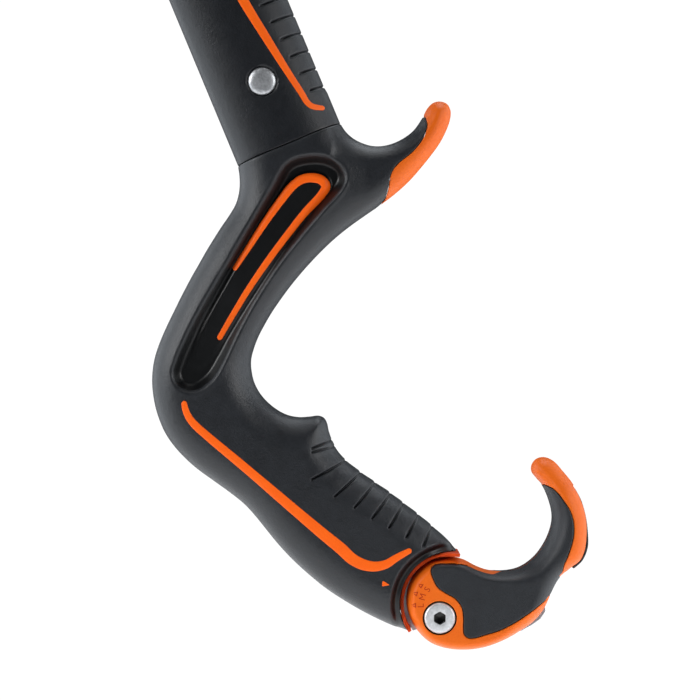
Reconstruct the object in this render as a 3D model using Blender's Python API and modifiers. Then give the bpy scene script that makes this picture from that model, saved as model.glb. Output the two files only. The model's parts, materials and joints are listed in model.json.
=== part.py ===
"""Technical ice axe: aluminium shaft, bolted pick and hammer, moulded lower grip
with a fixed upper finger hook, and a pommel whose angle sets the grip's size.

World frame: +X towards the pick and the finger side, +Z up the grip, Y across.
The origin is the middle of the main grip. Every length below is in millimetres.
"""
import math

import bmesh
import bpy
from mathutils import Matrix, Vector

MM = 0.001
GAP = 0.3                      # clearance between neighbouring pieces

# ---- overall ---------------------------------------------------------------
SEAM = (-10.4, 120.5)          # centre of the joint between sleeve and handle
SHAFT_LEAN = -22.6             # degrees from vertical at the sleeve
HEAD_LEAN = 9.0                # degrees from vertical at the head
SHAFT_STRAIGHT = 96.0
SHAFT_LENGTH = 326.0
SLEEVE_LENGTH = 95.0
TUBE_HALF_W, TUBE_HALF_T, TUBE_WALL = 15.2, 9.8, 1.5
SLEEVE_HALF_W, SLEEVE_HALF_T = 18.8, 13.6
HANDLE_T = 13.8
# ---- pommel joint ----------------------------------------------------------
PIVOT = (44.4, -34.5)
SOCKET_R = 17.4
LINER_R_OUT, LINER_R_IN = 17.1, 16.0
SCREW_AT = (40.3, -38.9)
SCREW_R, SCREW_HEAD_R = 3.0, 5.25
TRAVEL = 16.0                  # degrees either side of the middle size mark
PLATE_HALF_T = 2.0             # pivot plate
SPIKE_HALF_T = 1.5
POMMEL_T = 14.0
# ---- fasteners -------------------------------------------------------------
RIVET_AT = (-19.3, 141.2)
RIVET_R, RIVET_HEAD_R = 3.0, 4.75
BOLT_R = 4.0
# ---- head ------------------------------------------------------------------
HEAD_HALF_T = 13.0
PICK_HALF_T = 2.0
PICK_BOLT = (27.0, 7.0)
HAMMER_BOLT = (-19.0, 7.0)
WEIGHT_AT = (54.0, 7.5)

# Grip side profile: (left edge, right edge) of successive cross-sections.
HANDLE_PAIRS = [
    ((-27.8, 113.3), (7.0, 127.7)), ((-27.2, 108.8), (10.9, 119.7)), ((-27.5, 104.7), (11.9, 110.5)),
    ((-28.6, 100.6), (10.5, 101)), ((-30.9, 96.6), (6.5, 91.1)), ((-34.7, 90.8), (-0.3, 84)),
    ((-38.8, 84.3), (-6.8, 76.5)), ((-43.2, 76.8), (-11.9, 70)), ((-46.6, 70), (-16, 64.3)),
    ((-50.3, 62.6), (-19.7, 57.8)), ((-53.7, 55.1), (-22.4, 51.7)), ((-56.1, 47.6), (-23.5, 46.9)),
    ((-56.8, 40.8), (-22.8, 42.5)), ((-56.1, 33.3), (-20.7, 37.4)), ((-53.7, 25.5), (-17.7, 33.3)),
    ((-49.3, 18.4), (-13.3, 29.9)), ((-42.5, 10.9), (-7.5, 28.2)), ((-35, 5.4), (0, 28.6)),
    ((-29.9, 2), (2.7, 23.8)), ((-24.8, -1.7), (5.8, 16.3)), ((-19.7, -8.2), (11.9, 10.9)),
    ((-13.6, -15.6), (20.1, 5.4)), ((-6.8, -22.4), (28.2, -0.3)), ((1, -29.2), (35.4, -6.1)),
    ((10.2, -35.4), (41.5, -11.6)), ((19.4, -40.1), (46.3, -16.4)), ((28.6, -44.2), (49.6, -19.7)),
]
HOOK_PAIRS = [
    ((0.7, 117.5), (-2.5, 90)), ((10.2, 121.2), (8.0, 93.5)), ((17, 120.5), (17.7, 98.3)),
    ((23.1, 120.7), (24.5, 103.4)), ((27.9, 122.7), (29.9, 108.1)), ((31.6, 125.8), (34.7, 113.2)),
    ((34.3, 129.2), (38.4, 118.3)), ((36, 132.3), (41.5, 123.4)), ((37.6, 134.1), (43.6, 128.2)),
    ((39.2, 135), (44.2, 131.6)),
]
HOOK_T = [13.2, 13.2, 13.2, 13.0, 12.8, 12.5, 12.0, 11.2, 9.6, 7.4]
CAP_EDGE = [(35.1, 131.2), (35.9, 129.2), (36.4, 127.1), (35.9, 124.8), (35, 122.3), (33.3, 119.8), (31.3, 117.6),
            (29, 115.7), (26.9, 114), (24.9, 111.7), (23.8, 109.3), (23.4, 106.7), (22.9, 104.4), (22.1, 102.3),
            (20.6, 100.6), (18.4, 98.6)]
POMMEL_PAIRS = [
    ((29.6, -36.9), (29.6, -30.9)), ((30.5, -41.1), (30.6, -28)), ((33.6, -45.1), (34, -23.5)),
    ((37.4, -48.1), (38.4, -20.8)), ((42.8, -50), (43.5, -19.3)), ((49.3, -50.5), (48.5, -20)),
    ((55.8, -49.6), (53, -22.5)), ((62.2, -47.3), (57, -23.9)), ((67.5, -44.4), (62.2, -24.1)),
    ((72.7, -40.8), (65.6, -23.1)), ((75.8, -36.9), (68.7, -21.4)), ((77.9, -32.6), (71.1, -19.6)),
    ((80.2, -27.9), (73.3, -17.3)), ((83.3, -24.3), (75.1, -15.3)), ((86.7, -21.6), (76.7, -12.6)),
    ((89.1, -18.7), (77.9, -9.5)), ((90.4, -13.9), (78.6, -6.8)), ((90.5, -9.2), (78.6, -3.1)),
    ((89.9, -3.7), (78, -0.2)), ((88.2, 0.9), (76.7, 2.9)), ((85.7, 5.8), (75.1, 5.4)),
    ((82.4, 9.9), (73.4, 7.5)), ((80.2, 12.4), (72.3, 9.5)), ((78.2, 13.9), (72.1, 11.1)),
    ((76.2, 14.6), (73.6, 13.4)),
]
PAD_EDGE = [(75.3, 5.3), (78.2, 4.4), (81.4, 0.9), (84, -2.9), (85.2, -7.5), (85, -12.6), (83.4, -17.7),
            (81.4, -21.6), (80.1, -24.7), (77.6, -29.3), (74.3, -33.8), (70.5, -37), (65.3, -40.5), (60.2, -43.1),
            (55.1, -44.7), (51.2, -45.6), (49, -45), (48.4, -42.8), (48.4, -37.7), (47.7, -34.4), (45.5, -32.1),
            (42.3, -30.6), (39.7, -28.7), (38.4, -26), (37.5, -23.8), (38.6, -22.1), (41, -21.3), (44.8, -21.1),
            (48.7, -21.7), (52.5, -23.1)]
INNER_EDGE = [(57, -23.9), (62.2, -24.1), (67.5, -22.3), (72, -18.7), (75.9, -14.1), (78.2, -8.9), (78.8, -5),
              (77.9, 0.2)]
GRIP_STRIPE = [(-45.5, 33.9), (-45, 31.2), (-43.6, 28.1), (-41.5, 25.6), (-37.7, 22.2), (-28.8, 14.7),
               (-21.3, 8.4), (-13.8, 2), (-6.3, -4.4), (1.2, -10.7), (7.2, -15.7), (10.9, -19), (14.7, -21),
               (18.5, -21.6), (22.1, -20.9), (25.9, -18.6), (30.8, -16)]
GRIP_STRIPE_W = [1.9, 2.2, 2.5, 2.7, 2.8, 3.0, 3.1, 3.4, 3.6, 3.9, 4.1, 4.0, 3.8, 3.4, 3.0, 2.5, 1.8]
HAIRPIN = [(-27.7, 79.2), (-23.1, 85.9), (-18, 93.9), (-13, 101.3), (-8.9, 106.3), (-5.9, 108.3), (-2.2, 108.8),
           (0.7, 107.6), (1.3, 105.4), (-0.5, 102.5), (-4.9, 97.3), (-9.9, 90.5), (-15.9, 81.5), (-22.6, 71.1),
           (-28.4, 62), (-33.4, 55.3)]
HAIRPIN_W = [1.3, 1.7, 2.1, 2.4, 2.7, 2.9, 3.0, 2.9, 2.7, 2.6, 2.4, 2.2, 2.1, 1.9, 1.8, 1.6]
RECESS_OUT = [(-9.9, 113), (-14.9, 104.6), (-23.3, 90.5), (-30, 79.5), (-35.1, 71.1), (-40.1, 62.4), (-44.1, 54.4),
              (-47.8, 43.6), (-46.1, 39.3), (-43.4, 38.3), (-39.4, 39), (-36.1, 41.6), (-32.7, 47.6), (-29.3, 56),
              (-23.3, 67.8), (-14.6, 80.2), (-5.9, 91.8), (3.5, 103), (6.8, 106.3), (7.8, 108.7), (6.8, 112),
              (1.8, 114.4), (-3.2, 115.1)]
ISLAND = [(-27.3, 81), (-19.6, 93.4), (-11.9, 105.2), (-7.4, 109.8), (-1.6, 110.8), (2.7, 108.8), (3, 105.2),
          (-3.4, 97), (-11.2, 86.1), (-20.6, 72.2), (-27.5, 61.4), (-33, 53.6), (-37.3, 50), (-42.3, 48.4),
          (-42.9, 52), (-38.3, 60.9)]
POINTER = [(21, -26.3), (20.9, -28.3), (23.6, -27.8)]


# ---- helpers ---------------------------------------------------------------
def clear_scene():
    for ob in list(bpy.data.objects):
        bpy.data.objects.remove(ob, do_unlink=True)
    for mesh in list(bpy.data.meshes):
        bpy.data.meshes.remove(mesh)
    for curve in list(bpy.data.curves):
        bpy.data.curves.remove(curve)


def collection(name):
    coll = bpy.data.collections.new(name)
    bpy.context.scene.collection.children.link(coll)
    return coll


def material(name, color, rough, metal=0.0):
    mat = bpy.data.materials.new(name)
    mat.use_nodes = True
    shader = mat.node_tree.nodes["Principled BSDF"]
    shader.inputs["Base Color"].default_value = (*color, 1.0)
    shader.inputs["Roughness"].default_value = rough
    shader.inputs["Metallic"].default_value = metal
    mat.diffuse_color = (*color, 1.0)
    return mat


def smooth_line(points, steps):
    """Catmull-Rom line through 2D points, with a number of steps in each span."""
    out = []
    n = len(points)
    for i in range(n - 1):
        p0 = Vector(points[max(i - 1, 0)])
        p1, p2 = Vector(points[i]), Vector(points[i + 1])
        p3 = Vector(points[min(i + 2, n - 1)])
        for k in range(steps):
            t = k / steps
            out.append(0.5 * ((2 * p1) + (p2 - p0) * t + (2 * p0 - 5 * p1 + 4 * p2 - p3) * t * t
                              + (3 * p1 - p0 - 3 * p2 + p3) * t ** 3))
    out.append(Vector(points[-1]))
    return out


def superellipse(centre, across, half_t, power, count):
    """Ring of points around a centre in the XZ plane, thick along Y."""
    ring = []
    for k in range(count):
        a = 2 * math.pi * (k + 0.5) / count
        c, s = math.cos(a), math.sin(a)
        cc = math.copysign(abs(c) ** (2 / power), c)
        ss = math.copysign(abs(s) ** (2 / power), s)
        ring.append(Vector((centre.x + across.x * cc, half_t * ss, centre.y + across.y * cc)))
    return ring


def mesh_object(name, bm, coll, mat=None):
    mesh = bpy.data.meshes.new(name)
    bm.to_mesh(mesh)
    bm.free()
    ob = bpy.data.objects.new(name, mesh)
    coll.objects.link(ob)
    if mat:
        mesh.materials.append(mat)
    return ob


def loft(name, rings, coll, mat=None):
    """Skin between successive rings with the same number of points, closed at both ends."""
    bm = bmesh.new()
    rows = [[bm.verts.new(p * MM) for p in ring] for ring in rings]
    n = len(rings[0])
    for a, b in zip(rows, rows[1:]):
        for k in range(n):
            bm.faces.new((a[k], a[(k + 1) % n], b[(k + 1) % n], b[k]))
    bm.faces.new(rows[0][::-1])
    bm.faces.new(rows[-1])
    bmesh.ops.recalc_face_normals(bm, faces=bm.faces)
    bmesh.ops.triangulate(bm, faces=[f for f in bm.faces if len(f.verts) > 4])
    return mesh_object(name, bm, coll, mat)


def pair_rings(pairs, thick, powers, count, steps=1):
    lefts = smooth_line([p[0] for p in pairs], steps)
    rights = smooth_line([p[1] for p in pairs], steps)
    n = len(lefts)
    rings = []
    for i in range(n):
        at = i / steps
        j = min(int(at), len(pairs) - 2)
        f = at - j
        t = thick[j] * (1 - f) + thick[j + 1] * f
        pw = powers[j] * (1 - f) + powers[j + 1] * f
        c = (lefts[i] + rights[i]) / 2
        w = (rights[i] - lefts[i]) / 2
        rings.append(superellipse(c, w, t, pw, count))
    return rings


def to_mesh(ob, coll, name=None):
    """A mesh object from the evaluated object, which is then removed."""
    bpy.context.view_layer.update()
    ev = ob.evaluated_get(bpy.context.evaluated_depsgraph_get())
    mesh = bpy.data.meshes.new_from_object(ev)
    bm = bmesh.new()
    bm.from_mesh(mesh)
    bmesh.ops.remove_doubles(bm, verts=bm.verts, dist=1e-7)
    bmesh.ops.triangulate(bm, faces=bm.faces)
    bm.to_mesh(mesh)
    bm.free()
    label = name or ob.name
    world = ob.matrix_world.copy()
    bpy.data.objects.remove(ob, do_unlink=True)
    new = bpy.data.objects.new(label, mesh)
    new.name = label
    new.matrix_world = world
    coll.objects.link(new)
    mesh.name = label
    return new


def plate(name, outlines, y0, y1, coll, mat=None):
    """Flat outline (or an outline with holes) in the XZ plane, from y0 to y1."""
    data = bpy.data.curves.new(name, "CURVE")
    data.dimensions = "2D"
    data.fill_mode = "BOTH"
    data.extrude = abs(y1 - y0) / 2 * MM
    for outline in outlines:
        sp = data.splines.new("POLY")
        sp.points.add(len(outline) - 1)
        for p, q in zip(sp.points, outline):
            p.co = (q[0] * MM, q[1] * MM, 0, 1)
        sp.use_cyclic_u = True
    if mat:
        data.materials.append(mat)
    ob = bpy.data.objects.new(name, data)
    ob.rotation_euler = (math.pi / 2, 0, 0)
    ob.location = (0, (y0 + y1) / 2 * MM, 0)
    coll.objects.link(ob)
    new = to_mesh(ob, coll, name)
    new.data.transform(new.matrix_world)
    new.matrix_world = Matrix.Identity(4)
    return new


def turned(name, at, profile, coll, mat=None, sides=28):
    """Profile of (radius, y) from the near end to the far end, turned about a line along Y at (x, z)."""
    bm = bmesh.new()
    pts = profile
    verts = [bm.verts.new((r * MM, 0, -y * MM)) for r, y in pts]
    for a, b in zip(verts, verts[1:]):
        bm.edges.new((a, b))
    ob = mesh_object(name, bm, coll, mat)
    mod = ob.modifiers.new("turn", "SCREW")
    mod.axis = "Z"
    mod.steps = sides
    mod.render_steps = sides
    mod.use_merge_vertices = True
    mod.merge_threshold = 0.000001
    mod.use_smooth_shade = True
    ob.rotation_euler = (math.pi / 2, 0, 0)
    ob.location = (at[0] * MM, 0, at[1] * MM)
    new = to_mesh(ob, coll, name)
    new.data.transform(new.matrix_world)
    new.matrix_world = Matrix.Identity(4)
    return new


def rod(name, at, r, y0, y1, coll, mat=None, sides=28):
    return turned(name, at, [(0, y0), (r, y0), (r, y1), (0, y1)], coll, mat, sides)


def boolean(ob, other, how="DIFFERENCE", keep=False):
    mod = ob.modifiers.new(other.name, "BOOLEAN")
    mod.operation = how
    mod.solver = "EXACT"
    mod.object = other
    name = ob.name
    coll = ob.users_collection[0]
    mats = [m for m in ob.data.materials]
    new = to_mesh(ob, coll, name)
    new.data.materials.clear()
    for m in mats[:1]:
        new.data.materials.append(m)
    for p in new.data.polygons:
        p.material_index = 0
    if not keep:
        bpy.data.objects.remove(other, do_unlink=True)
    return new


def copy_of(ob, name, coll, mat=None):
    new = ob.copy()
    new.data = ob.data.copy()
    new.name = name
    new.data.name = name
    coll.objects.link(new)
    new.data.materials.clear()
    if mat:
        new.data.materials.append(mat)
    return new


def circle(centre, r, count=36, start=0.0, end=360.0, closed=True):
    n = count if closed else count + 1
    span = math.radians(end - start)
    return [(centre[0] + r * math.cos(math.radians(start) + span * k / count),
             centre[1] + r * math.sin(math.radians(start) + span * k / count)) for k in range(n)]


def band(line, widths, steps=1, grow=0.0):
    """Closed outline of a strip of changing width along a line, with round ends."""
    pts = smooth_line(line, steps)
    n = len(pts)
    left, right = [], []
    for i, p in enumerate(pts):
        at = min(i / steps, len(widths) - 1.001)
        j = int(at)
        w = (widths[j] * (1 - at + j) + widths[j + 1] * (at - j)) / 2 + grow
        t = (pts[min(i + 1, n - 1)] - pts[max(i - 1, 0)]).normalized()
        nrm = Vector((-t.y, t.x))
        if 0 < i < n - 1:
            left.append(tuple(p + nrm * w))
            right.append(tuple(p - nrm * w))
        else:
            p = p + t * (grow if i else -grow)
            w = (w - grow) * 0.7 + grow
            left.append(tuple(p + nrm * w))
            right.append(tuple(p - nrm * w))
    return left + right[::-1]


def grown(outline, d):
    """Outline moved outwards by d."""
    n = len(outline)
    area = sum(outline[i][0] * outline[(i + 1) % n][1] - outline[(i + 1) % n][0] * outline[i][1] for i in range(n))
    sign = 1 if area > 0 else -1
    out = []
    for i in range(n):
        a, p, b = Vector(outline[i - 1]), Vector(outline[i]), Vector(outline[(i + 1) % n])
        t = ((p - a).normalized() + (b - p).normalized()).normalized()
        out.append(tuple(p + Vector((t.y, -t.x)) * d * sign))
    return out


def half_space(name, y0, y1, coll):
    return plate(name, [[(-200, -100), (200, -100), (200, 600), (-200, 600)]], y0, y1, coll)


def shaft_point(s):
    """Point and lean on the shaft's centre line at distance s above the seam."""
    x, z = SEAM
    step = 2.0
    done = 0.0
    while done < s - 1e-9:
        d = min(step, s - done)
        lean = math.radians(shaft_lean(done + d / 2))
        x += math.sin(lean) * d
        z += math.cos(lean) * d
        done += d
    return Vector((x, z)), math.radians(shaft_lean(s))


def shaft_lean(s):
    t = min(max((s - SHAFT_STRAIGHT) / (SHAFT_LENGTH - SHAFT_STRAIGHT), 0.0), 1.0)
    t = t * t * (3 - 2 * t)
    return SHAFT_LEAN + (HEAD_LEAN - SHAFT_LEAN) * t


def shaft_rings(s_values, half_w, half_t, power, count):
    rings = []
    for s in s_values:
        p, lean = shaft_point(s)
        rings.append(superellipse(p, Vector((math.cos(lean), -math.sin(lean))) * half_w, half_t, power, count))
    return rings


def spread(a, b, n):
    return [a + (b - a) * k / n for k in range(n + 1)]


HEAD_O, HEAD_A = shaft_point(SHAFT_LENGTH)


def head_xy(f, u):
    """Head coordinates (forward, up the shaft) to the world's XZ."""
    return (HEAD_O.x + math.cos(HEAD_A) * f + math.sin(HEAD_A) * u,
            HEAD_O.y - math.sin(HEAD_A) * f + math.cos(HEAD_A) * u)


def head_outline(points):
    return [head_xy(f, u) for f, u in points]


# ---- build -----------------------------------------------------------------
clear_scene()
AXE = collection("ice_axe")
CUT = collection("cutters")

alu = material("anodised_aluminium", (0.10, 0.10, 0.11), 0.35, 0.9)
steel = material("forged_steel", (0.55, 0.55, 0.56), 0.35, 1.0)
dark_steel = material("dark_steel", (0.22, 0.22, 0.23), 0.4, 1.0)
bright_steel = material("bright_steel", (0.72, 0.72, 0.72), 0.25, 1.0)
black_grip = material("black_grip", (0.030, 0.032, 0.035), 0.55)
black_nylon = material("black_nylon", (0.05, 0.05, 0.055), 0.5)
orange = material("orange_trim", (0.90, 0.16, 0.02), 0.45)

# Shaft tube: hollow aluminium, from the seam to the head.
tube = loft("shaft_tube", shaft_rings([GAP] + spread(SHAFT_STRAIGHT, SHAFT_LENGTH - 3, 9),
                                      TUBE_HALF_W, TUBE_HALF_T, 2.6, 20), AXE, alu)
tube_bore = loft("tube_bore", shaft_rings([-4] + spread(SHAFT_STRAIGHT, SHAFT_LENGTH + 6, 9),
                                          TUBE_HALF_W - TUBE_WALL, TUBE_HALF_T - TUBE_WALL, 2.6, 20), CUT)
tube = boolean(tube, tube_bore)

# Rubber sleeve of the upper hand position.
sleeve = loft("upper_grip_sleeve", shaft_rings([GAP, 48, SLEEVE_LENGTH],
                                               SLEEVE_HALF_W, SLEEVE_HALF_T, 2.7, 24), AXE, black_grip)
sleeve_bore = loft("sleeve_bore", shaft_rings([-4, SLEEVE_LENGTH + 0.8],
                                              TUBE_HALF_W + GAP, TUBE_HALF_T + GAP, 2.6, 20), CUT)
sleeve_full = copy_of(sleeve, "sleeve_full", CUT)
sleeve = boolean(sleeve, sleeve_bore)


def sleeve_xy(s, across):
    p, lean = shaft_point(s)
    return (p.x + math.cos(lean) * across, p.y - math.sin(lean) * across)


UPPER_STRIPE = [sleeve_xy(s, w) for s, w in
                ((85.8, 1.5), (68.0, 3.2), (50.9, 4.0), (36.5, 6.1), (22.3, 8.5), (11.6, 10.7), (6.7, 11.9), (5.1, 13.1),
                 (3.9, 16.0))]
UPPER_STRIPE_W = [2.2, 3.0, 3.4, 3.0, 2.3, 2.1, 2.0, 1.9, 1.6]

# Rib grooves along the sleeve's front edge.
for k in range(6):
    s = 13.7 + 6.5 * k
    q0, q1 = sleeve_xy(s, 14.6), sleeve_xy(s + 0.6, 22)
    t = (Vector(q1) - Vector(q0)).normalized() * 0.55
    n = Vector((-t.y, t.x))
    groove = plate("groove", [[tuple(Vector(q0) - n), tuple(Vector(q1) - n), tuple(Vector(q1) + n),
                               tuple(Vector(q0) + n)]], -9.5, 9.5, CUT)
    sleeve = boolean(sleeve, groove)

# Handle: closed form of the whole lower grip, and its upper hook.
n_pairs = len(HANDLE_PAIRS)
handle_t = [HANDLE_T - 0.2 + 0.5 * math.sin(math.pi * min(max((i - 8) / 14, 0), 1)) for i in range(n_pairs)]
handle_full = loft("handle_full", pair_rings(HANDLE_PAIRS, handle_t, [2.7] * n_pairs, 24), CUT)
hook_full = loft("hook_full", pair_rings(HOOK_PAIRS, HOOK_T, [2.6] * len(HOOK_PAIRS), 22), CUT)
handle_full = boolean(handle_full, hook_full, "UNION", keep=True)
socket = rod("socket", PIVOT, SOCKET_R, -30, 30, CUT, sides=48)
handle_full = boolean(handle_full, socket)

CAP_OUTER = [(20, 92), (52, 92), (52, 142), (35.6, 142)]
cap_line = [tuple(p) for p in smooth_line(CAP_EDGE, 1)]
cap_prism = plate("cap_prism", [cap_line + CAP_OUTER], -30, 30, CUT)
cap_room = plate("cap_room", [[(x - 0.22, z + 0.22) for x, z in cap_line] + CAP_OUTER], -30, 30, CUT)
hook_cap = copy_of(hook_full, "hook_cap", AXE, orange)
hook_cap = boolean(hook_cap, cap_prism, "INTERSECT")

overmould = copy_of(handle_full, "handle_overmould", AXE, black_grip)
overmould = boolean(overmould, cap_room)

# Inner core with its tenon in the tube; it ends at the socket.
def core_rings(grow):
    rings = []
    for s in (34, 20, 4):
        p, lean = shaft_point(s + (grow if s == 34 else 0))
        across = Vector((math.cos(lean), -math.sin(lean)))
        rings.append(superellipse(p, across * (TUBE_HALF_W - TUBE_WALL - 0.4 + grow), 7.6 + grow, 2.6, 14))
    for i in range(1, n_pairs, 2):
        a, b = Vector(HANDLE_PAIRS[i][0]), Vector(HANDLE_PAIRS[i][1])
        c, w = (a + b) / 2, (b - a) / 2
        half = w.length * 0.42
        rings.append(superellipse(c, w.normalized() * (half + grow), 6.8 + grow, 2.6, 14))
    return rings


core = loft("handle_core", core_rings(0), AXE, black_nylon)
core_room = loft("core_room", core_rings(GAP), CUT)
overmould = boolean(overmould, core_room)
core = boolean(core, rod("core_end", PIVOT, SOCKET_R + 0.1, -30, 30, CUT, sides=48))

# Recess with a raised island on both sides.
for side in (-1, 1):
    y0, y1 = sorted((side * 10.4, side * 30))
    outer = [tuple(p) for p in smooth_line(RECESS_OUT + RECESS_OUT[:1], 1)][:-1]
    inner = [tuple(p) for p in smooth_line(ISLAND + ISLAND[:1], 1)][:-1]
    trough = plate("recess", [outer], y0, y1, CUT)
    trough = boolean(trough, plate("island", [inner], -40, 40, CUT))
    overmould = boolean(overmould, trough)

# Orange inlays on both sides, each in its own groove.
INLAYS = [("recess_stripe", HAIRPIN, HAIRPIN_W, 9.2), ("grip_stripe", GRIP_STRIPE, GRIP_STRIPE_W, 8.4)]
for label, line, widths, depth in INLAYS:
    for side, tag in ((-1, "near"), (1, "far")):
        y0, y1 = sorted((side * depth, side * 30))
        piece = copy_of(handle_full, f"{label}_{tag}", AXE, orange)
        piece = boolean(piece, plate("strip", [band(line, widths)], y0, y1, CUT), "INTERSECT")
        y0, y1 = sorted((side * (depth - GAP), side * 30))
        overmould = boolean(overmould, plate("strip_room", [band(line, widths, grow=0.25)], y0, y1, CUT))
for side, tag in ((-1, "near"), (1, "far")):
    y0, y1 = sorted((side * 9.0, side * 30))
    piece = copy_of(handle_full, f"size_pointer_{tag}", AXE, orange)
    piece = boolean(piece, plate("strip", [POINTER], y0, y1, CUT), "INTERSECT")
    y0, y1 = sorted((side * 8.6, side * 30))
    overmould = boolean(overmould, plate("strip_room", [grown(POINTER, 0.35)], y0, y1, CUT))
    y0, y1 = sorted((side * 10.6, side * 30))
    piece = copy_of(sleeve_full, f"upper_grip_stripe_{tag}", AXE, orange)
    piece = boolean(piece, plate("strip", [band(UPPER_STRIPE, UPPER_STRIPE_W)], y0, y1, CUT), "INTERSECT")
    y0, y1 = sorted((side * (10.6 - 0.25), side * 30))
    sleeve = boolean(sleeve, plate("strip_room", [band(UPPER_STRIPE, UPPER_STRIPE_W, grow=0.25)], y0, y1, CUT))

# Rib grooves of the main grip's front edge.
RIBS = [((-2.5, 17.1), (3.8, 19)), ((-2.5, 7.7), (6.6, 12.5)), ((5.2, 2.1), (12.4, 8.3)),
        ((11.9, -1.7), (18.5, 6.1)), ((17.9, -5.3), (23.5, 2.1)), ((23.6, -8.4), (27.9, -1.4)),
        ((29.3, -11.7), (33.3, -4.8)), ((35.1, -14.7), (37.8, -8.8))]
for q0, q1 in RIBS:
    a, b = Vector(q0), Vector(q1)
    t = (b - a).normalized()
    b = b + t * 4
    n = Vector((-t.y, t.x)) * 0.5
    groove = plate("groove", [[tuple(a - n), tuple(b - n), tuple(b + n), tuple(a + n)]], -9.0, 9.0, CUT)
    overmould = boolean(overmould, groove)

# Rivet that pins sleeve, tube and core together.
sleeve = boolean(sleeve, rod("hole", RIVET_AT, RIVET_HEAD_R + GAP, -30, 30, CUT))
tube = boolean(tube, rod("hole", RIVET_AT, RIVET_R + GAP, -30, 30, CUT))
core = boolean(core, rod("hole", RIVET_AT, RIVET_R + GAP, -30, 30, CUT))
rv = TUBE_HALF_T + GAP + 0.05
rv_top = SLEEVE_HALF_T
turned("grip_rivet", RIVET_AT,
       [(0, -rv_top - 0.9), (2.4, -rv_top - 0.8), (4.0, -rv_top - 0.4), (RIVET_HEAD_R, -rv_top + 0.3),
        (RIVET_HEAD_R, -rv), (RIVET_R, -rv), (RIVET_R, rv), (RIVET_HEAD_R, rv), (RIVET_HEAD_R, rv_top - 0.3),
        (4.0, rv_top + 0.4), (2.4, rv_top + 0.8), (0, rv_top + 0.9)], AXE, bright_steel, 20)

# Socket liner: bearing shoe of the pommel's disc.
liner = plate("socket_liner", [circle(PIVOT, LINER_R_OUT, 18, 84, 212, False)
                               + circle(PIVOT, LINER_R_IN, 18, 84, 212, False)[::-1]], -12.6, 12.6, AXE, orange)

# Pivot plate: steel tongue fixed in the core, with a curved slot for the clamp screw.
neck_dir = Vector((-0.84, 0.54)).normalized()
neck_n = Vector((-neck_dir.y, neck_dir.x))
C = Vector(PIVOT)
PLATE_PIN_1, PLATE_PIN_2 = tuple(C + neck_dir * 27), tuple(C + neck_dir * 41)


def plate_outline(grow=0.0):
    far = C + neck_dir * (48 + grow)
    pts = [far + neck_n * (4.5 + grow), C + neck_dir * 22 + neck_n * (7 + grow)]
    pts += [C + Vector((math.cos(math.radians(a)), math.sin(math.radians(a)))) * (16.1 + grow)
            for a in (207, 217)]
    pts += [C + Vector((math.cos(math.radians(a)), math.sin(math.radians(a)))) * (11.5 + grow)
            for a in range(225, 477, 12)]
    pts += [C + neck_dir * 22 - neck_n * (7 + grow), far - neck_n * (4.5 + grow)]
    return [tuple(p) for p in pts]


slot_r = (Vector(SCREW_AT) - C).length
slot_a = math.degrees(math.atan2(SCREW_AT[1] - C.y, SCREW_AT[0] - C.x)) % 360
half = SCREW_R + GAP
a0, a1 = slot_a - TRAVEL, slot_a + TRAVEL
slot = circle(PIVOT, slot_r + half, 10, a0, a1, False)
end = (C.x + slot_r * math.cos(math.radians(a1)), C.y + slot_r * math.sin(math.radians(a1)))
slot += circle(end, half, 10, a1, a1 + 180, False)[1:-1]
slot += circle(PIVOT, slot_r - half, 10, a0, a1, False)[::-1]
end = (C.x + slot_r * math.cos(math.radians(a0)), C.y + slot_r * math.sin(math.radians(a0)))
slot += circle(end, half, 10, a0 + 180, a0 + 360, False)[1:-1]
pivot_plate = plate("pivot_plate", [plate_outline(), slot, circle(PLATE_PIN_1, 2.8, 20), circle(PLATE_PIN_2, 2.8, 20)],
                    -PLATE_HALF_T, PLATE_HALF_T, AXE, bright_steel)
room = plate("plate_room", [plate_outline(GAP)], -PLATE_HALF_T - GAP, PLATE_HALF_T + GAP, CUT)
core = boolean(core, room, keep=True)
overmould = boolean(overmould, room, keep=True)
liner = boolean(liner, room)
for i, at in enumerate((PLATE_PIN_1, PLATE_PIN_2)):
    core = boolean(core, rod("hole", at, 2.8, -30, 30, CUT, sides=20))
    rod(f"pivot_plate_pin_{i + 1}", at, 2.5, -6.2, 6.2, AXE, steel, sides=20)

# Pommel: closed form, then its separate pieces.
n_pom = len(POMMEL_PAIRS)
powers = [5.0 if i < 6 else max(2.7, 5.0 - 0.35 * (i - 5)) for i in range(n_pom)]
pom_t = [12.2, 13.4] + [POMMEL_T] * (n_pom - 7) + [13.6, 12.8, 11.6, 9.6, 6.8]
pommel_full = loft("pommel_full", pair_rings(POMMEL_PAIRS, pom_t, powers, 24), CUT)
pad_prism_line = PAD_EDGE + INNER_EDGE


def strip_along(points, out, inn):
    line = smooth_line(points, 2)
    o, i_ = [], []
    for k, p in enumerate(line):
        t = (line[min(k + 1, len(line) - 1)] - line[max(k - 1, 0)]).normalized()
        n = Vector((-t.y, t.x))
        o.append(tuple(p + n * out))
        i_.append(tuple(p - n * inn))
    return o + i_[::-1]


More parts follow.
